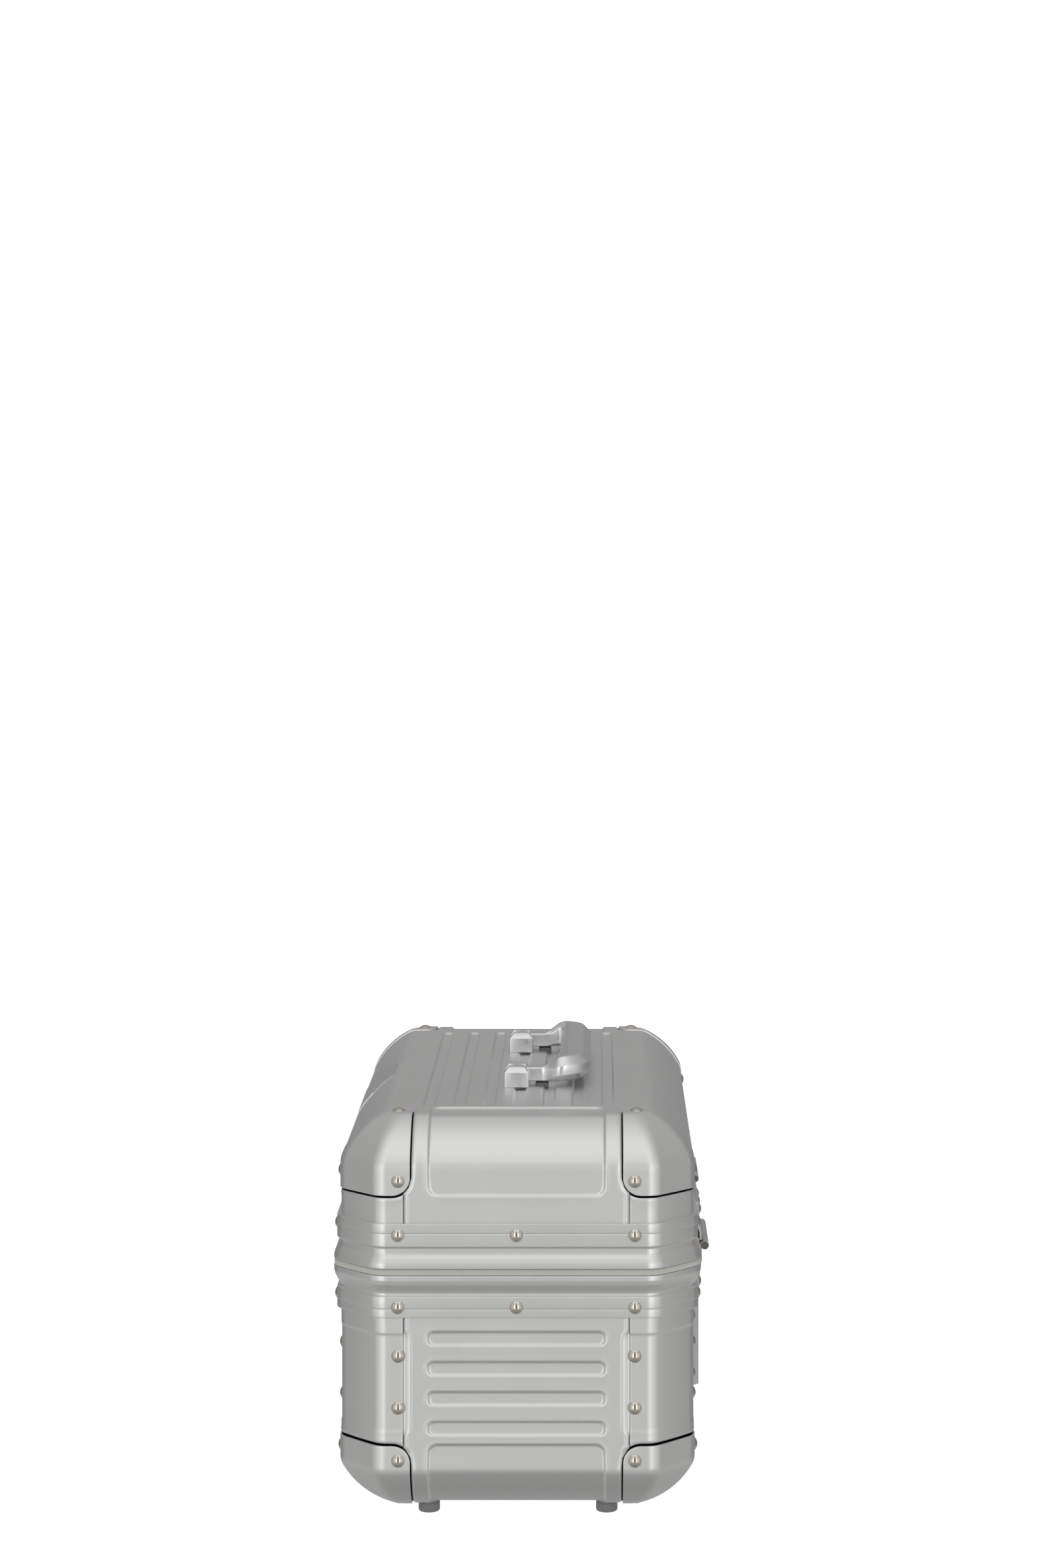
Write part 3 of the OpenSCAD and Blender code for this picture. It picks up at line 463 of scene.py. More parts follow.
for part in ("base", "lid"):
    low = part == "base"
    s_end = cross_section(np.zeros(1))[4]
    ribs = end_rib_z if low else []
    wall_top = (150 - bottom_z - edge_cut) if low else (top_z - 192 - edge_cut)
    pad = (57.8 - bottom_z - 2 * edge_cut) if low else (top_z - 221.0 - 2 * edge_cut)
    rib_marks = [(edge_cut + bottom_z - z + side * (rib_half_w - 1.1), 2.2)
                 for z in ribs for side in (-1, 1)]
    s_marks = rib_marks + [(edge_cut + (bottom_z - base_cap_z if low else lid_cap_z - top_z), 3.5),
                           (-(edge_cut + pad) + 1, 2.5), (s_end / 2, s_end / 2 + 1)]
    ends, sides = Sheet(), Sheet()
    y_marks = [(side * place, reach) for side in (-1, 1) for place, reach in (
        (57.0, 7.5), (hy - guard_reach - 1.5, 5.5))]
    along = marks(-flat_y, flat_y, 6, 0.62, *y_marks)
    s = marks(-wall_top, s_end + hx - edge_cut - flat_x, 6, 0.62, *s_marks, (s_end + 20, 7))
    for side in (-1, 1):
        wall(ends, along, s, side, low, ribs, pad)
    ends.build(part + "_shell_ends", sheet_finish, part, "satin_aluminium", part + "_shell")
    x_marks = [(side * place, reach) for side in (-1, 1) for place, reach in (
        (hx - rib_inset - 2, 6), (hx - guard_reach - 1.5, 5.5))]
    along = marks(-(hx - guard_reach + 3), hx - guard_reach + 3, 12, 0.8, *x_marks)
    s = marks(-wall_top, s_end + hy - edge_cut - flat_y, 6, 0.7, *s_marks[:-1], (s_end / 2, s_end / 2))
    for side in (-1, 1):
        wall(sides, along, s, side, low, ribs, None)
    x = marks(-flat_x, flat_x, 12, 0.8, *[(side * (hx - 60), 6) for side in (-1, 1)])
    y = marks(-flat_y, flat_y, 10, 0.6, *([] if low else [
        (rib_y + side * 3.8, 1.7) for rib_y in top_rib_y for side in (-1, 1)]))
    x, y = np.meshgrid(x, y, indexing="ij")
    lift = 0 * x
    if not low:
        for rib_y in top_rib_y:
            lift = lift - 1.6 * ease(-stadium(x, y - rib_y, top_rib_half_l, top_rib_half_w) / 1.7)
    level = (bottom_z if low else top_z) + lift
    sides.add(np.stack([x, y, level], -1), np.array([0, 0, -1.0 if low else 1.0]))
    sides.build(part + "_shell_body", sheet_finish, part, "satin_aluminium", part + "_shell")


# ---- Corner guards ----------------------------------------------------------------
# Four bent strips close the upright corners of the base, and four short ones those of the
# lid. They are riveted through the sheet, and pressed in slightly along their middle.
def plan_quarter(reach=None, steps=14):
    """Points and outward normals round one upright corner of the outline and, if reach is
    given, on along both walls to that distance from where they would meet."""
    r, mid, turn = bend_r, facet_r, bend_turn
    c1 = np.array([hx - r, hy - plan_cut])
    c2 = c1 - (mid - r) * np.array([np.cos(turn), np.sin(turn)])
    c3 = c2 + (mid - r) * np.array([np.sin(turn), np.cos(turn)])
    arcs = []
    for c, radius, a, b, n in ((c1, r, 0, turn, steps), (c2, mid, turn, np.pi / 2 - turn, 6),
                               (c3, r, np.pi / 2 - turn, np.pi / 2, steps)):
        t = np.linspace(a, b, n + 1)[(0 if c is c1 else 1):]
        normal = np.stack([np.cos(t), np.sin(t)], -1)
        arcs.append((c + radius * normal, normal))
    p, n = np.concatenate([a[0] for a in arcs]), np.concatenate([a[1] for a in arcs])
    if reach is not None:
        y, x = (np.concatenate([half - reach + np.array([0, .12, .35, .8, 2]),
                                np.linspace(half - reach + 4, last - 1, 4)])
                for half, last in ((hy, c1[1]), (hx, c3[0])))
        x = x[::-1]
        p = np.concatenate([np.stack([0 * y + hx, y], -1), p, np.stack([x, 0 * x + hy], -1)])
        n = np.concatenate([np.tile([1.0, 0], (len(y), 1)), n, np.tile([0, 1.0], (len(x), 1))])
    return p, n


def guard(sheet, sx, sy, low, high, pressed):
    """One guard: the corner outline carried up from low to high, lower by a soft step where it
    runs under the cap, and by the pressing between the heights in pressed."""
    p, n = plan_quarter(guard_reach)
    cap_z = base_cap_z if low < mid_z else lid_cap_z
    z = marks(low, high, 5, 0.6, *[(c, 3) for c in pressed], (cap_z, 4))
    i = np.arange(len(p))
    edge = np.minimum(np.abs(p[:, 0] - hx + guard_reach) + 99 * (n[:, 1] < 1),
                      np.abs(p[:, 1] - hy + guard_reach) + 99 * (n[:, 0] < 1))
    zz = np.broadcast_to(z, (len(p), len(z)))
    base = np.stack([*(np.repeat(p[:, None, k], len(z), 1) * (sx, sy)[k] for k in (0, 1)), zz], -1)
    normal = np.stack([*(np.repeat(n[:, None, k], len(z), 1) * (sx, sy)[k] for k in (0, 1)), 0 * zz], -1)
    cap = cap_distance(base)
    h = -1.35 * ease(1 - cap / 2.6) + 0.2 * np.exp(-((cap - 3.6) / 1.0) ** 2)
    h = h - 0.22 * ease(1 - edge[:, None] / 0.4)
    if pressed:
        h = h - 0.5 * ease((zz - pressed[0]) / 2.6 + 0.5) * ease((pressed[1] - zz) / 2.6 + 0.5)
    # cap / 1.7 is the distance that paints shade near black on the guard beside the cap's edge.
    sheet.add(base + normal * h[..., None], normal, cap / 1.7)


corners = [(sx, sy, ("front" if sy < 0 else "back") + "_" + ("left" if sx < 0 else "right"))
           for sx in (-1, 1) for sy in (-1, 1)]
strips = Sheet()
for sx, sy, corner in corners:
    strip = Sheet()
    guard(strip, sx, sy, 52, 150, (66.0, 130.0))
    strip.build("guard_" + corner, sheet_finish, "base", "satin_aluminium",
                "base_guard_" + corner, thick=1.0)
    guard(strips, sx, sy, 193, 226, ())
strips.build("lid_guard_strips", sheet_finish, "lid", "satin_aluminium", "lid_guards", thick=1.0)


# ---- Corner caps ------------------------------------------------------------------
# Eight deep-drawn corner shells of thicker sheet, riveted over the guards and the panels.
# Their outlines have large rounded corners, and their cut edge stands proud of the sheet.
cap_out = 0.6           # how far a cap stands out from the case


def cap_sheet(sx, sy, low, around=216, rings=44):
    """A cap is a disc of rays from a point inside the corner. On each ray the surface lies
    where the case distance equals the cap's stand-out, found by halving; the outermost ring
    lies where the cap distance is zero, and from there the edge turns down into its gap."""
    sign = np.array([sx, sy, -1.0 if low else 1.0])
    centre = np.array([hx - 66, hy - 60, hz - 60])
    tip = np.array([1.0, 1.0, 0.9]) / np.linalg.norm([1.0, 1.0, 0.9])
    e1 = np.cross(tip, [0, 0, 1.0])
    e1 /= np.linalg.norm(e1)
    e2 = np.cross(tip, e1)
    angle = np.arange(around) / around * 2 * np.pi
    spoke = np.cos(angle)[:, None] * e1 + np.sin(angle)[:, None] * e2

    def surface(rho, out):
        """Points where the rays at angles rho from the tip reach the distance out."""
        ray = tip * np.cos(rho)[..., None] + spoke.reshape((around,) + (1,) * (rho.ndim - 1) + (3,)) \
            * np.sin(rho)[..., None]
        near, far = np.zeros(rho.shape), np.full(rho.shape, 200.0)
        for _ in range(34):
            half = (near + far) / 2
            q = centre + half[..., None] * ray + [0, 0, mid_z]
            outside = case_distance(q) > out
            near, far = np.where(outside, near, half), np.where(outside, half, far)
        return centre + near[..., None] * ray + [0, 0, mid_z]

    a, b = np.full(around, 0.02), np.full(around, 1.5)
    for _ in range(30):
        half = (a + b) / 2
        q = surface(half, cap_out)
        if low:
            q[:, 2] = 2 * mid_z - q[:, 2]
        outside = cap_distance(q) > 0
        a, b = np.where(outside, a, half), np.where(outside, half, b)
    share = np.concatenate([np.linspace(0, 0.97, rings), [0.985, 0.993, 0.998, 1, 1, 1]])
    out = np.concatenate([np.full(rings, cap_out), [cap_out, 0.58, 0.50, 0.32, -0.4, -1.1]])
    rho = a[:, None] * share
    p = surface(rho, np.broadcast_to(out, rho.shape))
    p = (p - [0, 0, mid_z]) * sign + [0, 0, mid_z]
    # The rows that turn down into the gap are painted near black, as painted shade inside the gap.
    seam = np.where(out < 0.3, 0.5, no_gap_shade)
    return p, np.broadcast_to(seam, rho.shape), tip * sign


for part in ("base", "lid"):
    for sx, sy, corner in corners:
        cap = Sheet()
        p, seam, outward = cap_sheet(sx, sy, part == "base")
        cap.add(p, outward, seam, wrap_rows=True)
        cap.build(part + "_corner_" + corner, sheet_finish, part, "satin_aluminium",
                  part + "_cap_" + corner, thick=0.5, sharp=50)


# ---- Base frame, lid frame and gasket ---------------------------------------------
# Two extruded and mitred rings hold the edges of the sheets. Each has a flat band for the
# rivets, with fine grooves along it, a narrow neck and a flare that meets the rubber gasket.
quarter, turned = plan_quarter()
ring_p, ring_n = (np.concatenate([a, (a * [-1, 1])[::-1], a * [-1, -1], (a * [1, -1])[::-1]])
                  for a in (quarter, turned))


def softened(loop, r):
    """A closed loop whose corners are cut back by r and bowed, so that they catch the light."""
    loop = np.array(loop, float)
    before, after = np.roll(loop, 1, 0) - loop, np.roll(loop, -1, 0) - loop
    lb, la = np.linalg.norm(before, axis=1), np.linalg.norm(after, axis=1)
    kb, ka = (np.minimum(r, l * 0.45) / l for l in (lb, la))
    a, b = loop + before * kb[:, None], loop + after * ka[:, None]
    middle = (a + b) / 4 + loop / 2
    return np.stack([a, middle, b], 1).reshape(-1, 2)


def triangles_of(mesh):
    """The points of a mesh, and its triangles as three point numbers each."""
    mesh.calc_loop_triangles()
    points, faces = np.zeros((len(mesh.vertices), 3)), np.zeros((len(mesh.loop_triangles), 3), int)
    mesh.vertices.foreach_get("co", points.ravel())
    mesh.loop_triangles.foreach_get("vertices", faces.ravel())
    return points, faces


def face_out(obj):
    """Turns the faces of a closed mesh outwards: its signed volume, the sum over triangles of
    a . (b x c) / 6, is negative when they look in."""
    points, faces = triangles_of(obj.data)
    a, b, c = points[faces].transpose(1, 0, 2)
    if (a * np.cross(b, c)).sum() < 0:
        obj.data.flip_normals()


def ring(name, loop, material, body, slot, node, r=0.25):
    """The loop of [distance out, height] carried round the outline of the case."""
    loop = softened(loop, r)
    p = np.concatenate([ring_p[:, None] + loop[None, :, :1] * ring_n[:, None],
                        np.broadcast_to(loop[None, :, 1:], (len(ring_p), len(loop), 1))], -1)
    out = Sheet()
    out.add(p, np.zeros(3), None, True, True)
    face_out(out.build(name, material, body, slot, node, sharp=28))


base_loop = [[-4, 141.6], [2.6, 141.6], [2.8, 141.9], [2.8, 146.9], [2.45, 147.3], [2.8, 147.7],
             [2.8, 155.2], [2.4, 155.6], [1.2, 156.4], [1.0, 157.4], [1.4, 158.6], [2.6, 160.8],
             [4.0, 163.6], [4.8, 166.6], [4.9, 169.4], [4.5, 169.9], [-1.8, 169.9], [-1.8, 173.8],
             [-4, 173.8]]
lid_loop = [[-4, 174.3], [4.6, 174.3], [4.9, 174.7], [4.9, 176.6], [4.5, 178.2], [3.2, 180.8],
            [1.8, 183.0], [1.2, 184.2], [1.1, 187.2], [1.6, 188.0], [2.6, 188.6], [2.8, 189.0],
            [2.8, 196.9], [2.4, 197.3], [2.8, 197.7], [2.8, 203.6], [2.5, 204.0], [-4, 204.0]]
gasket_loop = [[-1.6, 169.95], [3.9, 169.95], [4.5, 170.4], [4.6, 172.1], [4.4, 173.8],
               [3.9, 174.25], [-1.6, 174.25]]
ring("base_ring", base_loop, frame_finish, "base", "satin_aluminium", "base_frame")
ring("lid_ring", lid_loop, frame_finish, "lid", "satin_aluminium", "lid_frame")


def dull(name, colour, other, rough, scale, bump=0.3, sheen=0.0):
    """A matt finish in two mingled colours with a fine bumpy grain."""
    made, p, place = new_finish(name)
    speck = p.node("ShaderNodeTexNoise", None, {"Vector": place, "Scale": scale, "Detail": 4.0})
    cloud = p.node("ShaderNodeTexNoise", None, {"Vector": place, "Scale": scale / 30, "Detail": 2.0})
    tone = p.node("ShaderNodeMix", dict(data_type="RGBA"), {
        0: (speck * 0.6 + cloud * 0.6 - 0.1).clamp(), 6: (*colour, 1), 7: (*other, 1)}, out=2)
    relief = p.node("ShaderNodeBump", None, {"Strength": bump, "Distance": 0.0001, "Height": speck})
    p.node("ShaderNodeOutputMaterial", None, {0: p.node("ShaderNodeBsdfPrincipled", None, {
        "Base Color": tone, "Roughness": rough + (cloud - 0.5) * 0.1, "Sheen Weight": sheen,
        "Normal": relief})})
    return made


gasket_rubber = dull("gasket_rubber", (0.33, 0.33, 0.30), (0.40, 0.40, 0.37), 0.55, 900.0)
ring("gasket_ring", gasket_loop, gasket_rubber, "base", "gasket", "gasket", 0.3)


# ---- Rivets -----------------------------------------------------------------------
# Domed, nickel-plated heads, polished bright. They pin the bands, guards, caps, hinge leaves
# and the sleeve to the sheets.
rivet_r, rivet_h = 4.35, 1.9


def polish(name, colour, rough):
    """Bright plated metal with hardly visible swirls from polishing."""
    made, p, place = new_finish(name)
    swirl = p.node("ShaderNodeTexNoise", None, {
        "Vector": place, "Scale": 700.0, "Detail": 3.0, "Distortion": 1.5})
    tone = p.node("ShaderNodeMix", dict(data_type="RGBA"), {
        0: swirl, 6: (*colour, 1), 7: (*(0.95 * c for c in colour), 1)}, out=2)
    relief = p.node("ShaderNodeBump", None, {"Strength": 0.06, "Distance": 0.00005, "Height": swirl})
    p.node("ShaderNodeOutputMaterial", None, {0: p.node("ShaderNodeBsdfPrincipled", None, {
        "Base Color": tone, "Metallic": 1.0, "Roughness": rough + swirl * 0.04, "Normal": relief})})
    return made


rivet_nickel = polish("rivet_nickel", (0.64, 0.59, 0.52), 0.06)


def rivet_field(name, body, node, places, steps=28):
    """Each head is a dome profile turned about the normal at its place: flat skirt edge, then
    an arc over the top. The places are pairs of a point and a normal."""
    r, h = rivet_r, rivet_h
    ball = (r * r + h * h) / (2 * h)
    lean = np.linspace(np.arcsin(min(1, r / ball)), 0, 11)
    profile = np.stack([ball * np.sin(lean), ball * np.cos(lean) - ball + h], -1)
    profile = np.concatenate([[[r - 0.15, -1.2], [r, -0.1], [r + 0.04, 0.12]], profile + [0, 0.12]])
    turn = np.arange(steps) / steps * 2 * np.pi
    out = Sheet()
    for point, normal in places:
        w = np.array(normal, float)
        u = np.cross(w, [0, 0, 1.0] if abs(w[2]) < 0.9 else [1.0, 0, 0])
        u /= np.linalg.norm(u)
        v = np.cross(w, u)
        circle = np.cos(turn)[:, None, None] * u + np.sin(turn)[:, None, None] * v
        p = np.array(point) + circle * profile[None, :, :1] + w * profile[None, :, 1:]
        out.add(p, circle + w, None, wrap_rows=True)
    out.build(name, rivet_nickel, body, "polished_steel", node, sharp=40)


def on_faces(z, out, ys, front_xs, back_xs):
    """Places on the two ends, the front and the back, at one height."""
    found = [((s * (hx + out), y, z), (s, 0, 0)) for s in (-1, 1) for y in ys]
    found += [((x, -hy - out, z), (0, -1, 0)) for x in front_xs]
    return found + [((x, hy + out, z), (0, 1, 0)) for x in back_xs]


corner_y, corner_x = hy - 40, hx - 40
at_y, at_x = (-corner_y, corner_y), (-corner_x, corner_x)
flat_at = [(sx * (hx - 38), sy * (hy - 38.5)) for sx, sy, _ in corners]
band_y, front_x, back_x = (-corner_y, 0, corner_y), (*at_x, -90, 90), (*at_x, -46, 46)
band_out, guard_out = 2.8, -0.5        # how far the heads' seats stand out
low_rivets = on_faces(148.7, band_out, band_y, front_x, back_x)
for z in (81.2, 115.6):
    low_rivets += on_faces(z, guard_out, at_y, at_x, at_x)
low_rivets += on_faces(46.4, cap_out, at_y, at_x, at_x)
low_rivets += [((x, y, bottom_z - cap_out), (0, 0, -1)) for x, y in flat_at]
high_rivets = on_faces(196.3, band_out, band_y, front_x, back_x)
high_rivets += on_faces(231.6, cap_out, at_y, at_x, at_x)
high_rivets += [((x, y, top_z + cap_out), (0, 0, 1)) for x, y in flat_at]
rivet_field("base_rivet_heads", "base", "base_rivets", low_rivets)
rivet_field("lid_rivet_heads", "lid", "lid_rivets", high_rivets)
hinge_x, leaf_out = 109.0, band_out + 1.6
leaf_x = [s * hinge_x + d for s in (-1, 1) for d in (-24, 0, 24)]
rivet_field("hinge_rivet_heads_base", "base", "hinge_base_rivets", on_faces(147.6, leaf_out, (), (), leaf_x))
rivet_field("hinge_rivet_heads_lid", "lid", "hinge_lid_rivets", on_faces(197, leaf_out, (), (), leaf_x))
sleeve_x, sleeve_out = [s * (226 - 13) / 2 for s in (-1, 1)], 1.2
rivet_field("sleeve_rivet_heads", "base", "sleeve_rivets",
            on_faces(77.45, sleeve_out, (), (), sleeve_x) + on_faces(117.25, sleeve_out, (), (), sleeve_x))


# ---- Carry handle -----------------------------------------------------------------
# Milled from solid aluminium. Two pairs of blocks stand on the lid, an arm turns between the
# blocks of each pair on a steel pin, and the arms flow into a wide flat-topped grip.
outer_x, block_t, arm_t, side_gap = 85.0, 8.0, 8.4, 0.3
arm_x = outer_x - block_t - side_gap - arm_t
inner_x = arm_x - side_gap - block_t
pivot_y, pivot_z, block_y = 1.0, top_z + 8.2, (-11.6, 5.7)
milled = satin("milled_aluminium", (0.84, 0.84, 0.85), 0.30, 0.4, streaks=True)


def rounded_rectangle(x0, x1, y0, y1, r, steps=5):
    """A closed loop of points: quarter circles of radius r about the four inner corners."""
    t = np.linspace(0, np.pi / 2, steps)
    middles = ((x1 - r, y1 - r), (x0 + r, y1 - r), (x0 + r, y0 + r), (x1 - r, y0 + r))
    return np.concatenate([middle + r * np.stack([np.cos(t + k * np.pi / 2), np.sin(t + k * np.pi / 2)], -1)
                           for k, middle in enumerate(middles)])


def capped_stack(loops):
    """Level loops, each (points, height), with a pole closing the first and the last."""
    rows = [np.concatenate([loop, np.full((len(loop), 1), z)], 1) for loop, z in loops]
    first, last = (np.broadcast_to(row.mean(0), row.shape) for row in (rows[0], rows[-1]))
    return np.stack([first, *rows, last])


def handle_block(name, x, away):
    """Level rounded rectangles stacked up: straight to the chamfer, then drawn in on the front,
    the back and the side away from the arm, and closed to a line on top."""
    low, high, bevel = 10.4, 14.2, 0.45
    loops = []
    for h, in_y, in_side, shrink in (
            (0, 0, 0, 0.3), (0.3, 0, 0, 0), (low - bevel, 0, 0, 0), (low, 0.07, 0.07, 0),
            (low + bevel, 0.33, 0.4, 0), (high - bevel, 2.47, 2.9, 0), (high - 0.08, 2.8, 3.3, 0.05),
            (high, 2.85, 3.4, 0.5), (high, 2.85, 3.4, 2.0)):
        x0 = x + (in_side if away < 0 else 0) + shrink
        x1 = x + block_t - (in_side if away > 0 else 0) - shrink
        loops.append((rounded_rectangle(x0, x1, block_y[0] + in_y + shrink, block_y[1] - in_y - shrink,
                                        max(0.05, 0.9 - shrink)), top_z + h))
    p = capped_stack(loops)
    out = Sheet()
    out.add(p, p - (p[0, 0] + [0, 0, 6]), None, wrap_columns=True)
    out.build(name, milled, "lid", "machined_aluminium", name.replace("pivot_", "handle_"), sharp=22)


for side, s in (("left", -1), ("right", 1)):
    for place, x, away in (("outer", outer_x - block_t, s), ("inner", inner_x, -s)):
        handle_block("pivot_block_" + side + "_" + place, x if s > 0 else -x - block_t, away)


def socket_pin(name, s):
    """A profile turned about the pivot line: socket floor, hexagonal socket wall, flat rim,
    bevel, shank and closed far end. The hexagon's radius is its flat over the cosine of the
    angle from the nearest flat."""
    turn = np.arange(36) / 36 * 2 * np.pi
    hexagon = 0.95 / np.cos((turn + np.pi / 6) % (np.pi / 3) - np.pi / 6)
    end = outer_x - 1.1 - inner_x
    rows = [(0.0, 1.0), (hexagon * 0.96, 1.0), (hexagon, 0.0), (1.5, 0.0), (1.68, 0.15),
            (1.68, end - 0.2), (1.5, end), (0.0, end)]
    p = np.stack([np.stack([s * (inner_x - 0.02 + d + 0 * turn), pivot_y + r * np.cos(turn),
                            pivot_z + r * np.sin(turn)], -1) for r, d in rows])
    out = Sheet()
    out.add(p, np.stack([0 * turn, np.cos(turn), np.sin(turn)], -1), None, wrap_columns=True)
    out.build(name, rivet_nickel, "lid", "polished_steel", name.replace("socket_", "handle_"), sharp=30)


socket_pin("socket_pin_left", -1)
socket_pin("socket_pin_right", 1)


def grip_points():
    """A chamfered section carried along a U-shaped path in plan: up one arm, round the elbow
    and along the grip to the other arm. Its width, top, bottom and chamfers change smoothly
    along the way, so that the arm rises in an S and swells into the elbow."""
    cx, cy, r = arm_x + arm_t / 2 - 12.5, 25.5, 12.5
    t = np.linspace(0, np.pi / 2, 22)
    y = np.concatenate([[-4.9, -4.6, -3.5], np.linspace(-2, 16, 13), np.linspace(17, 25, 9)])
    arm = np.stack([0 * y + cx + r, y, 0 * y], -1)
    bend = np.stack([cx + r * np.cos(t), cy + r * np.sin(t), t / (np.pi / 2)], -1)
    x = np.linspace(cx - 2, 0, 22)
    bar = np.stack([x, 0 * x + cy + r, 0 * x + 1], -1)
    half = np.concatenate([arm, bend, bar])
    x, y, along = half.T
    nx, ny = np.cos(along * np.pi / 2), np.sin(along * np.pi / 2)
    swell = ease((y - 15) / 13) * (1 - along) + along
    outward = 4.2 + swell * 7.4 - 0.35 * along
    inward = 4.2 + 6.8 * ease(along * 1.15)
    rise = ease((y - 13) / 17) * (1 - along) + along
    high = pivot_z + 4.6 + (top_z + 20.9 - pivot_z - 4.6) * rise
    low = pivot_z - 5.2 + (top_z + 4.1 - pivot_z + 5.2) * ease((y - 22) / 12)
    nose = np.clip((-2 - y) / 2.9, 0, 1)
    high, low = high - 3.0 * nose ** 2, low + 3.0 * nose ** 2
    top_cut = 1.0 + 4.6 * ease((y - 14) / 12)
    low_cut = 0.8 + 4.4 * ease((y - 16) / 12)
    b, e = 0.35, 0.14                               # small bevels between the flats
    section = []
    for side, reach in ((1, outward), (-1, inward)):
        d_top, d_low = np.minimum(top_cut, reach * 0.6), np.minimum(low_cut, reach * 0.6)
        section.append([(side * o, h) for o, h in (
            (reach - d_low - b, low), (reach - d_low + e, low + e),
            (reach - e, low + d_low - e), (reach, low + d_low + b),
            (reach, high - d_top - b), (reach - e, high - d_top + e),
            (reach - d_top + e, high - e), (reach - d_top - b, high))])
    loop = section[0] + section[1][::-1]
    p = np.stack([np.stack([x + o * nx, y + o * ny, h + 0 * x], -1) for o, h in loop], 1)
    other = (p * [-1, 1, 1])[:-1][::-1]
    p = np.concatenate([p, other])
    ends = [np.broadcast_to(q.mean(0), q.shape) for q in (p[0], p[-1])]
    return np.concatenate([ends[0][None], p, ends[1][None]])


grip = Sheet()
grip_p = grip_points()
grip.add(grip_p, grip_p - grip_p.mean(1, keepdims=True), None, wrap_columns=True)
grip.build("carry_grip", milled, "handle_grip", "machined_aluminium", "handle_grip", sharp=24)


def buffer_pads():
    """Two low rubber pads under the arms: rounded rectangles stacked up, drawn in on top."""
    out = Sheet()
    for s in (-1, 1):
        x0, x1 = sorted((s * (arm_x - 0.5), s * (arm_x + arm_t + 0.5)))
        p = capped_stack([(rounded_rectangle(x0 + i, x1 - i, 10.2 + i, 19.4 - i, 1.2), top_z + h)
                          for h, i in ((-0.4, 0), (1.3, 0), (1.75, 0.12), (2.0, 0.5))])
        out.add(p, p - p[0, 0] - [0, 0, 1], None, wrap_columns=True)
    return out


pad_rubber = dull("pad_rubber", (0.10, 0.10, 0.10), (0.14, 0.14, 0.14), 0.6, 1100.0)
buffer_pads().build("arm_buffers", pad_rubber, "lid", "foot_rubber", sharp=35)


# ---- Feet -------------------------------------------------------------------------
# Four moulded rubber feet, each with a rounded rim, a shallow groove and a well that sinks the
# head of the screw that holds it.
def turned_z(profile, centre, steps=48):
    """Rows of circles about an upright line: each [radius, height] of the profile in turn."""
    t = np.arange(steps) / steps * 2 * np.pi
    return np.stack([np.stack([centre[0] + r * np.cos(t), centre[1] + r * np.sin(t), z + 0 * t], -1)
                     for r, z in profile])


rubber = dull("foot_rubber", (0.12, 0.12, 0.12), (0.17, 0.17, 0.17), 0.6, 1200.0)
foot_x, foot_y = 165.0, 60.0
foot_profile = [(1.6, bottom_z - 0.1), (7.0, bottom_z - 0.1), (7.25, bottom_z - 0.3), (7.25, 7.0),
                (7.05, 6.8), (7.0, 6.5), (7.05, 6.2), (7.25, 6.0), (7.25, 1.2), (7.1, 0.6),
                (6.75, 0.2), (6.2, 0.0), (3.9, 0.0), (3.5, 0.15), (3.4, 0.4), (3.4, 2.6), (1.6, 2.6)]
foot_set = Sheet()
for sx, sy, _ in corners:
    foot_set.add(turned_z(foot_profile, (sx * foot_x, sy * foot_y)), np.zeros(3), None, True, True)
face_out(foot_set.build("rubber_feet", rubber, "base", "foot_rubber", "feet", sharp=30))


# ---- Linings ----------------------------------------------------------------------
# A padded cloth lining, quilted in diamonds, is glued into the base and the lid. It runs from
# the frame down the walls, round the pressed edge and across the flat.
cloth_lining = dull("lining_cloth", (0.012, 0.012, 0.014), (0.03, 0.03, 0.034), 0.85, 700.0, 0.8, 0.3)
lining_in, rim_in, quilt = 7.4, 4.2, 34.0   # inside the case's outline, at its rim, diamond width


def lining_loop(d):
    """The plan outline moved in by d: as far as the lining lies inside the wall each point moves
    along its normal, and beyond that the corners slide in unchanged, with straights between."""
    wall_in = min(d, lining_in)
    moved = quarter - wall_in * turned - (d - wall_in)
    bends = [moved, (moved * [-1, 1])[::-1], moved * [-1, -1], (moved * [1, -1])[::-1]]
    whole = []
    for k, count in enumerate((96, 42, 96, 42)):
        a, b = bends[k][-1], bends[(k + 1) % 4][0]
        whole += [bends[k], a + (b - a) * np.linspace(0, 1, count)[1:-1, None]]
    return np.concatenate(whole)


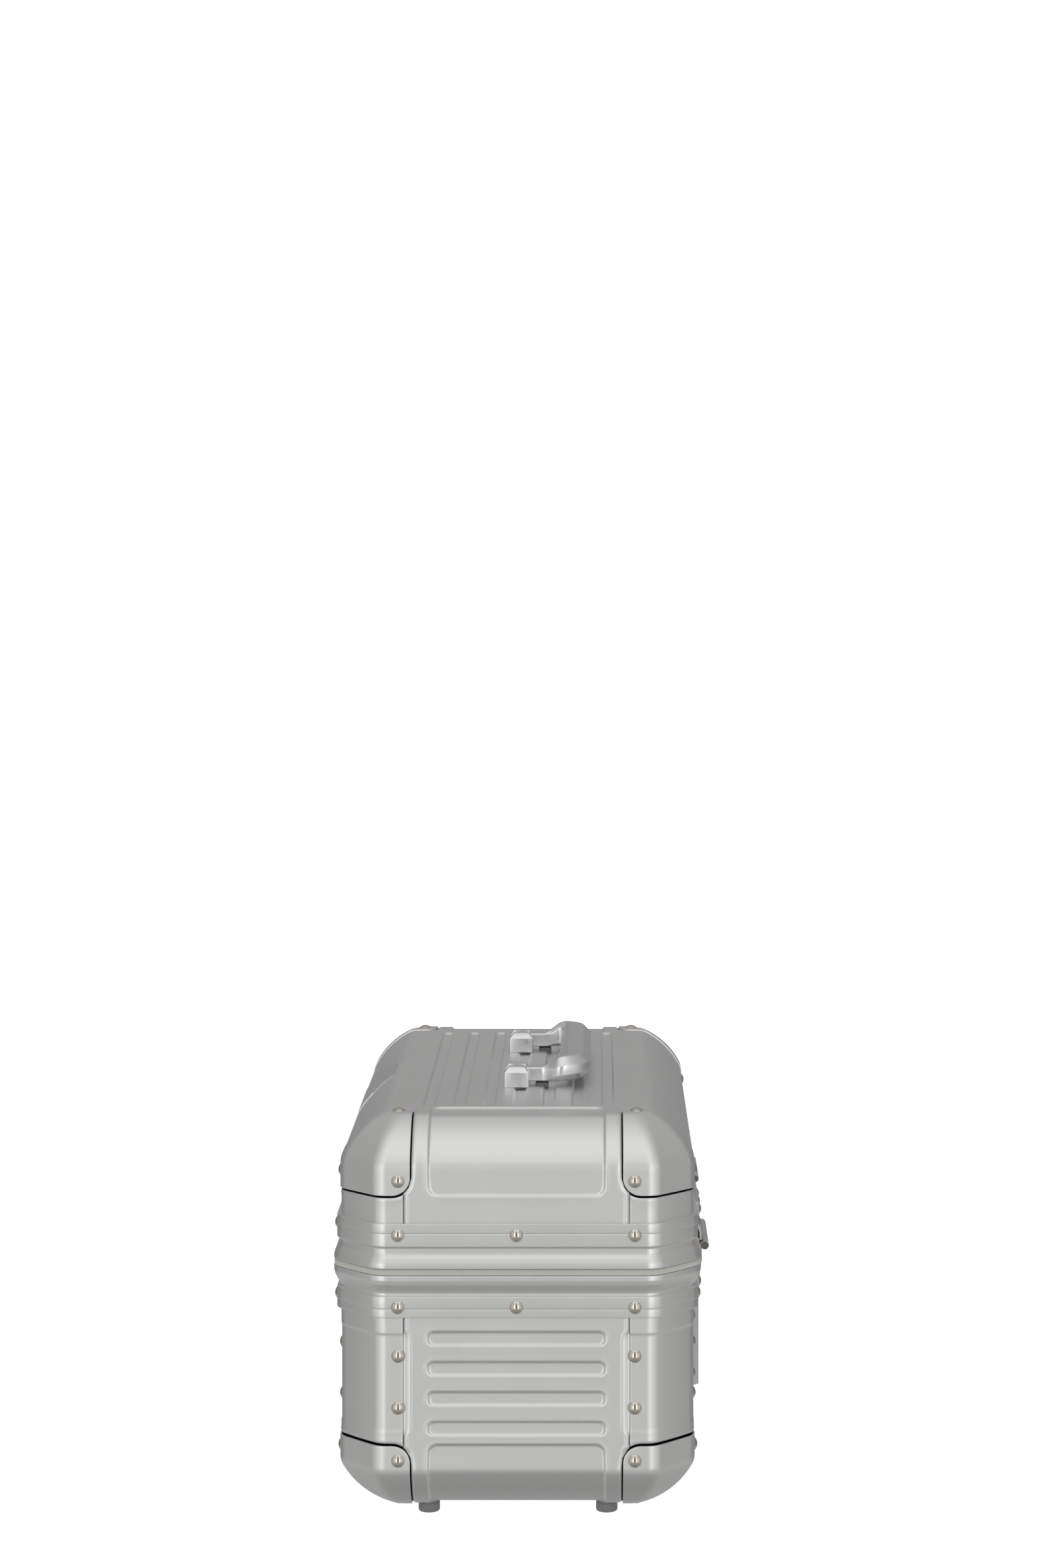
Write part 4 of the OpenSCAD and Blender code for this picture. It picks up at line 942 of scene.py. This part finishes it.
def lining(name, node, low, edge):
    """A loop's inset and height follow the section over the edge, moved in by the lining's
    depth; past the round the loops shrink to the middle. Diamonds swell inwards by a power of
    the product of two sines, folded to stay positive."""
    s_end = cross_section(np.zeros(1))[4]
    run = (edge - bottom_z if low else top_z - edge) - edge_cut
    s = np.concatenate([[-run], np.arange(-run + 2, s_end, 2.8), [s_end]])
    inset, depth, n_out, n_up, _ = cross_section(s)
    inset, depth = inset + lining_in * n_out, depth + lining_in * n_up
    s, inset, depth = np.r_[s[0], s], np.r_[rim_in, inset], np.r_[depth[0], depth]
    n_out, n_up = np.r_[0, n_out], np.r_[0, n_up]
    xy = np.stack([lining_loop(d) for d in inset])
    step = np.hypot(*(np.roll(xy[0], -1, 0) - xy[0]).T)
    count = round(step.sum() / quilt)
    u = np.cumsum(np.concatenate([[0], step[:-1]])) * count / step.sum()
    v = (s - s_end)[:, None] / quilt
    puff = np.abs(np.sin(np.pi * (u + v)) * np.sin(np.pi * (u - v))) ** 0.4
    fade = ease((s + run) / 8)[:, None] * ease((s_end - s) / 10)[:, None]
    swell = 1.5 * puff * fade
    away = xy / np.maximum(np.hypot(xy[..., 0], xy[..., 1]), 1)[..., None]
    away = np.where(np.abs(xy[..., :1]) > hx - 45, away * [1, 0.3], away * [0.3, 1])
    xy = xy - away * (swell * n_out[:, None])[..., None]
    z = depth[:, None] + swell * n_up[:, None]
    sides = np.concatenate([xy, z[..., None]], -1)
    k = np.linspace(1, 0, 40)[1:, None, None]
    flat = sides[-1] * k
    wave = 1 - 0.25 * np.cos(flat[..., 0] / 11) * np.cos(flat[..., 1] / 11)
    flat[..., 2] = sides[-1, 0, 2] + 1.2 * ease((1 - k[..., 0]) * 12) * wave
    p = np.concatenate([sides, flat])
    p[..., 2] = bottom_z + p[..., 2] if low else top_z - p[..., 2]
    out = Sheet()
    out.add(p, np.array([0, 0, 150.0 if low else 190.0]) - p, None, wrap_columns=True)
    cloth = out.build(name, cloth_lining, "base" if low else "lid", "lining", node, thick=1.8, sharp=60)


lining("quilted_base_lining", "base_lining", low=True, edge=141.4)
lining("quilted_lid_lining", "lid_lining", low=False, edge=204.2)


# ---- Number dials -----------------------------------------------------------------
# Three moulded wheels with ten flats, a notch between each two, and a digit on each flat.
digit_white = dull("digit_white", (0.75, 0.75, 0.73), (0.62, 0.62, 0.60), 0.5, 900.0)
dial_black = dull("dial_black", (0.02, 0.02, 0.02), (0.035, 0.035, 0.035), 0.4, 800.0)
dial_y, dial_z, dial_r, dial_w, dial_pitch = -(hy + 5.9), 119.0, 5.4, 4.0, 9.0


def on_wheel(i, x, r, angle):
    """Points at x along the axle from the middle of a wheel, r from the axle, at an angle."""
    return np.stack([dial_pitch * (i - 2) + x, dial_y + r * np.cos(angle), dial_z + r * np.sin(angle)], -1)


def dial_wheel(i):
    """Circles about the axle whose radius dips at ten notches, closed to the axle's hole."""
    t = np.arange(160) / 160 * 2 * np.pi
    notch = np.exp(-((((t * 10 / (2 * np.pi)) % 1) - 0.5) / 0.09) ** 2)
    profile = ((1.06, 0.5), (4.6, 0.5), (5.1, 0.46), (dial_r, 0.38))
    rows = []
    for r, x in [(r, -x) for r, x in profile] + list(profile)[::-1]:
        rows.append(on_wheel(i, x * dial_w + 0 * t, r - 0.45 * notch * (r > 5), t))
    out = Sheet()
    out.add(np.stack(rows), np.zeros(3), None, True, True)
    face_out(out.build("number_wheel_%d" % i, dial_black, "dial_%d" % i, "dial", "dial_%d" % i, sharp=30))


def dial_digits(i):
    """Flat digits from the built-in letter shapes, bent round the wheel: a digit's height
    becomes an angle, its width runs along the axle."""
    points, faces, count = [], [], 0
    for digit in range(10):
        text = bpy.data.curves.new("digit", "FONT")
        text.body, text.size, text.align_x, text.align_y = str(digit), 3.0, "CENTER", "CENTER"
        text.resolution_u = 3
        holder = bpy.data.objects.new("digit", text)
        co, tri = triangles_of(holder.to_mesh())
        angle = np.pi + np.pi / 5 * digit - co[:, 1] / dial_r
        points.append(on_wheel(i, co[:, 0], dial_r + 0.03, angle))
        faces.append(tri + count)
        count += len(co)
        holder.to_mesh_clear()
        bpy.data.objects.remove(holder)
    mark = link_mesh("wheel_digits_%d" % i, np.concatenate(points), np.concatenate(faces))
    mark.data.materials.append(digit_white)
    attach(mark, "dial_%d" % i)


for i in (1, 2, 3):
    dial_wheel(i)
    dial_digits(i)


# ---- Carried parts ----------------------------------------------------------------
# The remaining parts keep their machined shapes: hinges, sleeve, lock, plates, screws and pins.
# Each takes the finish of its own material.
steel = satin("plain_zinc", (0.55, 0.56, 0.58), 0.35, 0.5)
hinge_finish = satin("hinge_nickel", (0.74, 0.74, 0.72), 0.28, 0.4)
finish_of = {"satin_aluminium": frame_finish, "machined_aluminium": milled, "polished_steel": rivet_nickel,
             "plain_steel": steel, "hinge_steel": hinge_finish, "gasket": gasket_rubber,
             "foot_rubber": rubber, "lining": cloth_lining, "dial": dial_black}
for entry in frame["record"]["subparts"]:
    node = frame["nodes"].get(entry["node"])
    if node is not None and not node.hide_render:
        node.data.materials.clear()
        node.data.materials.append(finish_of[entry["material_slot"]])
